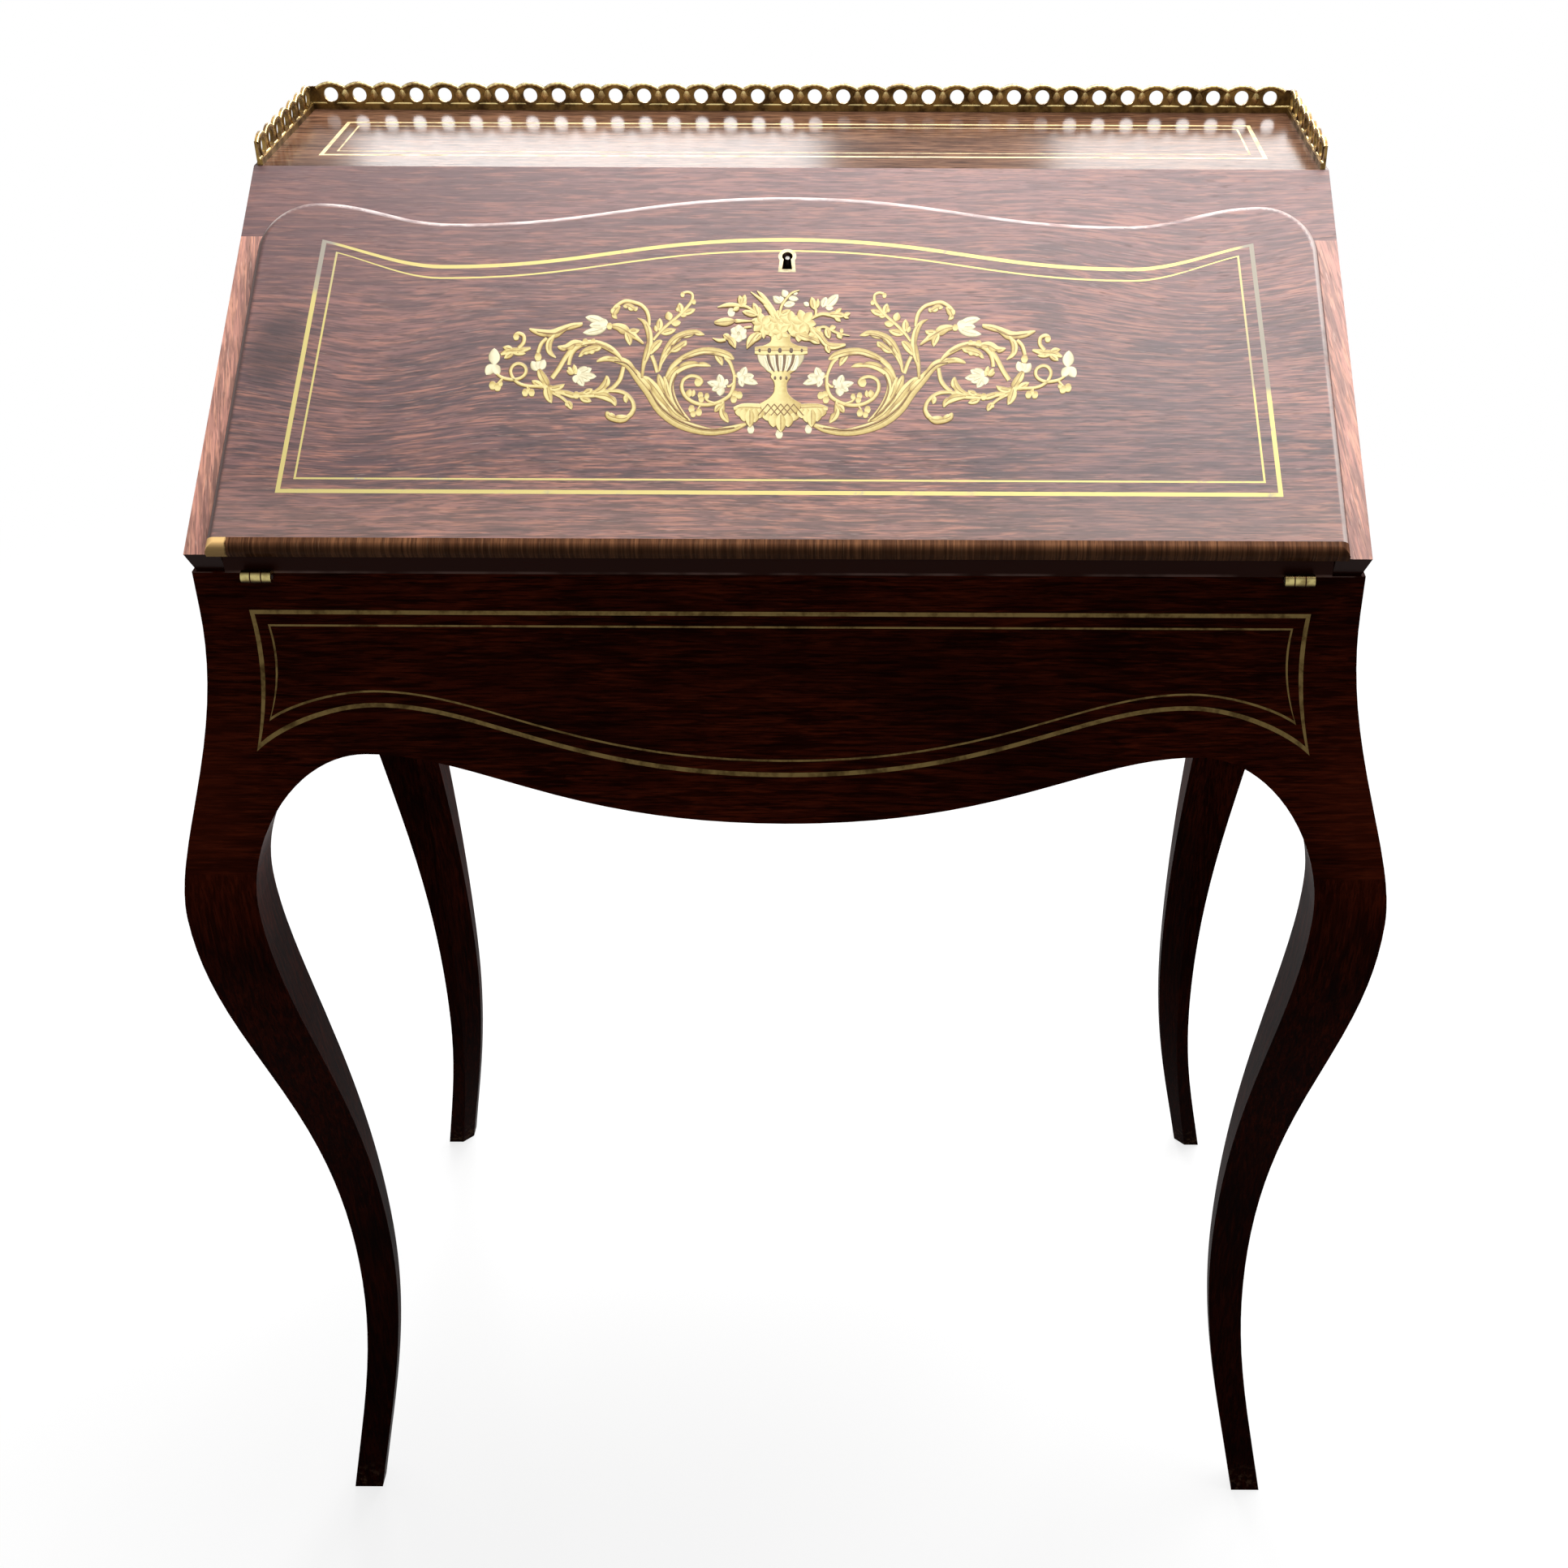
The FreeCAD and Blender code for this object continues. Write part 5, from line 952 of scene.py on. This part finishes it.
def stroke_rows(stroke, rise):
    """Rows of points across a stroke, from outline over vein to outline, and their shades."""
    points, lobes, tone = stroke
    spots = smooth(points)
    reach = sum((after - spot).xy.length for spot, after in zip(spots, spots[1:]))
    slim = reach > VEINED_SLIMNESS * max(spot.z for spot in spots)
    rows = []
    shades = []
    for index, spot in enumerate(spots):
        run = run_at(spots, index).xy.normalized()
        side = Vector((-run.y, run.x))
        half = max(spot.z, 0) / 2
        rim = half + OUTLINE_PX * min(1, half / FULL_OUTLINE_PX)
        vein = min(max(VEIN_PX, VEIN_SHARE * half), half / 2)
        across = (-rim, -half, -vein, 0, vein, half, rim)
        waves = [lobed(index / (len(spots) - 1), lobes[place > 0]) for place in across]
        rows.append([on_flap(spot.xy + side * place * wave, rise if abs(place) < rim else 0)
                     for place, wave in zip(across, waves)])
        row_shades = [tone * shade * wave for shade, wave in zip(SHADE_SHARES, waves)]
        if slim and VEINED_PX[0] < spot.z < VEINED_PX[1]:
            row_shades[len(across) // 2] *= VEIN_SHADE
        shades.append(row_shades)
    return rows, shades


def lay_strokes(name, material, paired, single):
    """One inlay piece of strokes on both sides of the urn, then single ones, each over the last."""
    inlay = Shaded()
    middle = on_flap(Vector((URN_PX, URN_ROW_PX)), 0).x
    for layer, stroke in enumerate(paired + single):
        rows, shades = stroke_rows(stroke, INLAY_RISE + layer * INLAY_STEP)
        inlay.strip(rows, shades)
        if layer < len(paired):
            mirrored = [[Vector((2 * middle - point.x, point.y, point.z)) for point in row]
                        for row in rows]
            inlay.strip(mirrored, shades)
    inlay.piece(name, material, "flap", False)


def marquetry():
    """Urn, bouquet and scrolling acanthus let into the flap."""
    boxwood = inlay_wood("boxwood", BOXWOOD_STOPS)
    ivory = inlay_wood("ivory_wood", IVORY_STOPS)
    lay_strokes("marquetry_boxwood", boxwood, BOXWOOD_SCROLLS + ENGRAVED_SCROLLS,
                BOXWOOD_MIDDLE + DARK_LINES)
    lay_strokes("marquetry_ivory", ivory, IVORY_SCROLLS, IVORY_MIDDLE)


# Gallery relief: rope on the scallops, a rim round each hole, a leaf between holes, a bead on the rail, with
# painted light and shade

GALLERY_PLATE = 0.0016
GALLERY_END = 0.0052
GALLERY_SIDE_END = 0.0015
GALLERY_RINGS = 34
GALLERY_SIDE_RINGS = 7
RAIL_HEIGHT = 0.0035
VALLEY_HEIGHT = 0.0142
CREST_HEIGHT = 0.0173
RING_HEIGHT = 0.0092
RIM_RADIUS = 0.0054
ROPE_RADIUS = 0.0012
RIM_BEAD = 0.0007
RAIL_BEAD = 0.0009
ROPE_STEPS = 12
RIM_STEPS = 18
TUBE_SIDES = 6
LEAF_HALF_WIDTH = 0.0026
LEAF_LOW = 0.0040
LEAF_HIGH = 0.0138
LEAF_SWELL = 0.0011
# Painted light and shade: lit and shaded turns of the rope, and the leaves' lit crowns and shaded edges
RELIEF_LIGHT_AND_SHADE = (1.0, 0.45)


def tube(relief, at, path, radius, painted_shades=RELIEF_LIGHT_AND_SHADE):
    """Half-buried bead along a path of (along, up) points, painted lit and shaded by turns like a rope."""
    rows = []
    shades = []
    for index, spot in enumerate(path):
        run = run_at(path, index).normalized()
        row = []
        for corner in range(TUBE_SIDES):
            turn = math.tau * corner / TUBE_SIDES
            across = radius * math.cos(turn)
            depth = GALLERY_PLATE + radius * math.sin(turn) / 2
            row.append(at(spot.x - run.y * across, depth, spot.y + run.x * across))
        rows.append(row)
        shades.append([painted_shades[index % 2]] * TUBE_SIDES)
    relief.strip(rows, shades, closed=True)


def gallery_leaf(relief, at, along):
    """Small ridged leaf between two holes, painted lit on its crown and shaded towards its edge."""
    middle = (LEAF_LOW + LEAF_HIGH) / 2
    foot = at(along, GALLERY_PLATE, LEAF_LOW)
    tip = at(along, GALLERY_PLATE, LEAF_HIGH)
    crown = at(along, GALLERY_PLATE + LEAF_SWELL, middle)
    for side in (-1, 1):
        edge = at(along + side * LEAF_HALF_WIDTH, GALLERY_PLATE, middle)
        shades = [[0, RELIEF_LIGHT_AND_SHADE[1], 0], RELIEF_LIGHT_AND_SHADE[:1] * 3]
        relief.strip([[foot, edge, tip], [foot, crown, tip]], shades)


def scallop(centre, width):
    """Path of (along, up) points under one scallop of the gallery's edge."""
    path = []
    for step in range(ROPE_STEPS + 1):
        swing = 2 * step / ROPE_STEPS - 1
        height = VALLEY_HEIGHT + (CREST_HEIGHT - VALLEY_HEIGHT) * (1 - swing ** 2) - ROPE_RADIUS
        path.append(Vector((centre + swing * width / 2, height)))
    return path


def hole_rim(centre):
    """Path of (along, up) points round one hole of the gallery."""
    turns = [math.tau * step / RIM_STEPS for step in range(RIM_STEPS + 1)]
    return [Vector((centre + RIM_RADIUS * math.cos(turn), RING_HEIGHT + RIM_RADIUS * math.sin(turn)))
            for turn in turns]


def gallery_relief(name, origin, along, inward, length, rings, end):
    """Relief on the inner face of one length of the gallery."""
    relief = Shaded()

    def at(run, depth, height):
        return origin + along * run + inward * depth + UP * height

    pitch = (length - 2 * end) / rings
    for ring in range(rings):
        centre = end + (ring + 1 / 2) * pitch
        tube(relief, at, scallop(centre, pitch), ROPE_RADIUS)
        tube(relief, at, hole_rim(centre), RIM_BEAD)
        if ring:
            gallery_leaf(relief, at, centre - pitch / 2)
    rail = [Vector((length * step / rings, RAIL_HEIGHT)) for step in range(rings + 1)]
    tube(relief, at, rail, RAIL_BEAD, RELIEF_LIGHT_AND_SHADE[:1] * 2)
    relief.piece(name, RELIEF_BRASS, "case", True)


def gallery():
    """Relief of the back and both sides, on the galleries' own boxes."""
    low, high = (Vector(corner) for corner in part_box("gallery_back"))
    origin = Vector((low.x, high.y, low.z))
    gallery_relief("gallery_relief_back", origin, RIGHT, -BACK, high.x - low.x, GALLERY_RINGS,
                   GALLERY_END)
    for side, inward in zip(SIDES, (RIGHT, -RIGHT)):
        low, high = (Vector(corner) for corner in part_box("gallery_" + side))
        origin = Vector((low.x if side == "left" else high.x, low.y, low.z))
        gallery_relief("gallery_relief_" + side, origin, BACK, inward, high.y - low.y,
                       GALLERY_SIDE_RINGS, GALLERY_SIDE_END)


# Stage

def seen(wire):
    """1 for the camera, mirror reflections and glass, 0 for the light that falls on things."""
    camera, glossy, transmission = (wire.make("ShaderNodeLightPath", (), (), "Is %s Ray" % kind)
                                    for kind in ("Camera", "Glossy", "Transmission"))
    return camera.math("MAXIMUM", glossy).math("MAXIMUM", transmission)


def pale_floor():
    """Large floor, white to the camera and to reflections, that keeps a soft shadow near the desk."""
    mesh = bpy.data.meshes.new("floor")
    half = FLOOR_SIZE / 2
    corners = [(-half, -half, 0), (half, -half, 0), (half, half, 0), (-half, half, 0)]
    mesh.from_pydata(corners, [], [(0, 1, 2, 3)])
    floor = add_object("floor", mesh)
    floor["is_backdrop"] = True
    material, wire, shader = new_material("pale_floor")
    far = texture(wire).away((0, 0, 0)).step(*FLOOR_FADE)
    glow = far.mix(grey(FLOOR_NEAR_GLOW), grey(1))
    feed(shader, Base_Color=far.mix(grey(FLOOR_ALBEDO), grey(0)),
         Emission_Color=seen(wire).mix(grey(0), glow))
    fix(shader, Roughness=0.9, Specular_IOR_Level=0.0, Emission_Strength=1.0)
    mesh.materials.append(material)


def white_world():
    """White surroundings that light the desk only a little."""
    world = bpy.data.worlds.new("studio")
    bpy.context.scene.world = world
    world.use_nodes = True
    wire = Wire(world.node_tree)
    background = world.node_tree.nodes["Background"]
    feed(background, Strength=seen(wire) * (1 - WORLD_FILL) + WORLD_FILL)
    fix(background, Color=grey(1))


def softbox(name, spot, aim, size, watts):
    """Rectangular studio light aimed at a point."""
    lamp = bpy.data.lights.new(name, "AREA")
    lamp.shape = "RECTANGLE"
    lamp.size, lamp.size_y = size
    lamp.energy = watts
    light = add_object(name, lamp)
    light.location = spot
    light.rotation_mode = "QUATERNION"
    light.rotation_quaternion = (aim - spot).to_track_quat("-Z", "Y")


def photo_camera():
    """Camera standing where the photograph was taken, level from side to side but for a small roll."""
    data = bpy.data.cameras.new("photo_camera")
    data.sensor_width = SENSOR_MM
    data.lens = SENSOR_MM * FOCAL_PX / PICTURE_PX
    data.shift_x = (PICTURE_PX / 2 - CENTRE_PX[0]) / PICTURE_PX
    data.shift_y = (CENTRE_PX[1] - PICTURE_PX / 2) / PICTURE_PX
    right, up, ahead = camera_axes()
    turn = Matrix((right, up, -ahead)).transposed()
    camera = add_object("photo_camera", data)
    camera.matrix_world = Matrix.Translation(CAMERA_PLACE) @ turn.to_4x4()
    bpy.context.scene.camera = camera


dress_nodes()
marquetry()
gallery()
pale_floor()
white_world()
softbox("overhead_softbox", SOFTBOX_PLACE, SOFTBOX_AIM, SOFTBOX_SIZE, SOFTBOX_WATTS)
for place, size, watts in WINDOWS:
    softbox("window_softbox", place, WINDOW_AIM, size, watts)
photo_camera()
bpy.context.scene.view_settings.view_transform = "Standard"

boxes = {"cad": CAD_BOX, "visual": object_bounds()}
{name: [list(corner) for corner in box] for name, box in boxes.items()}
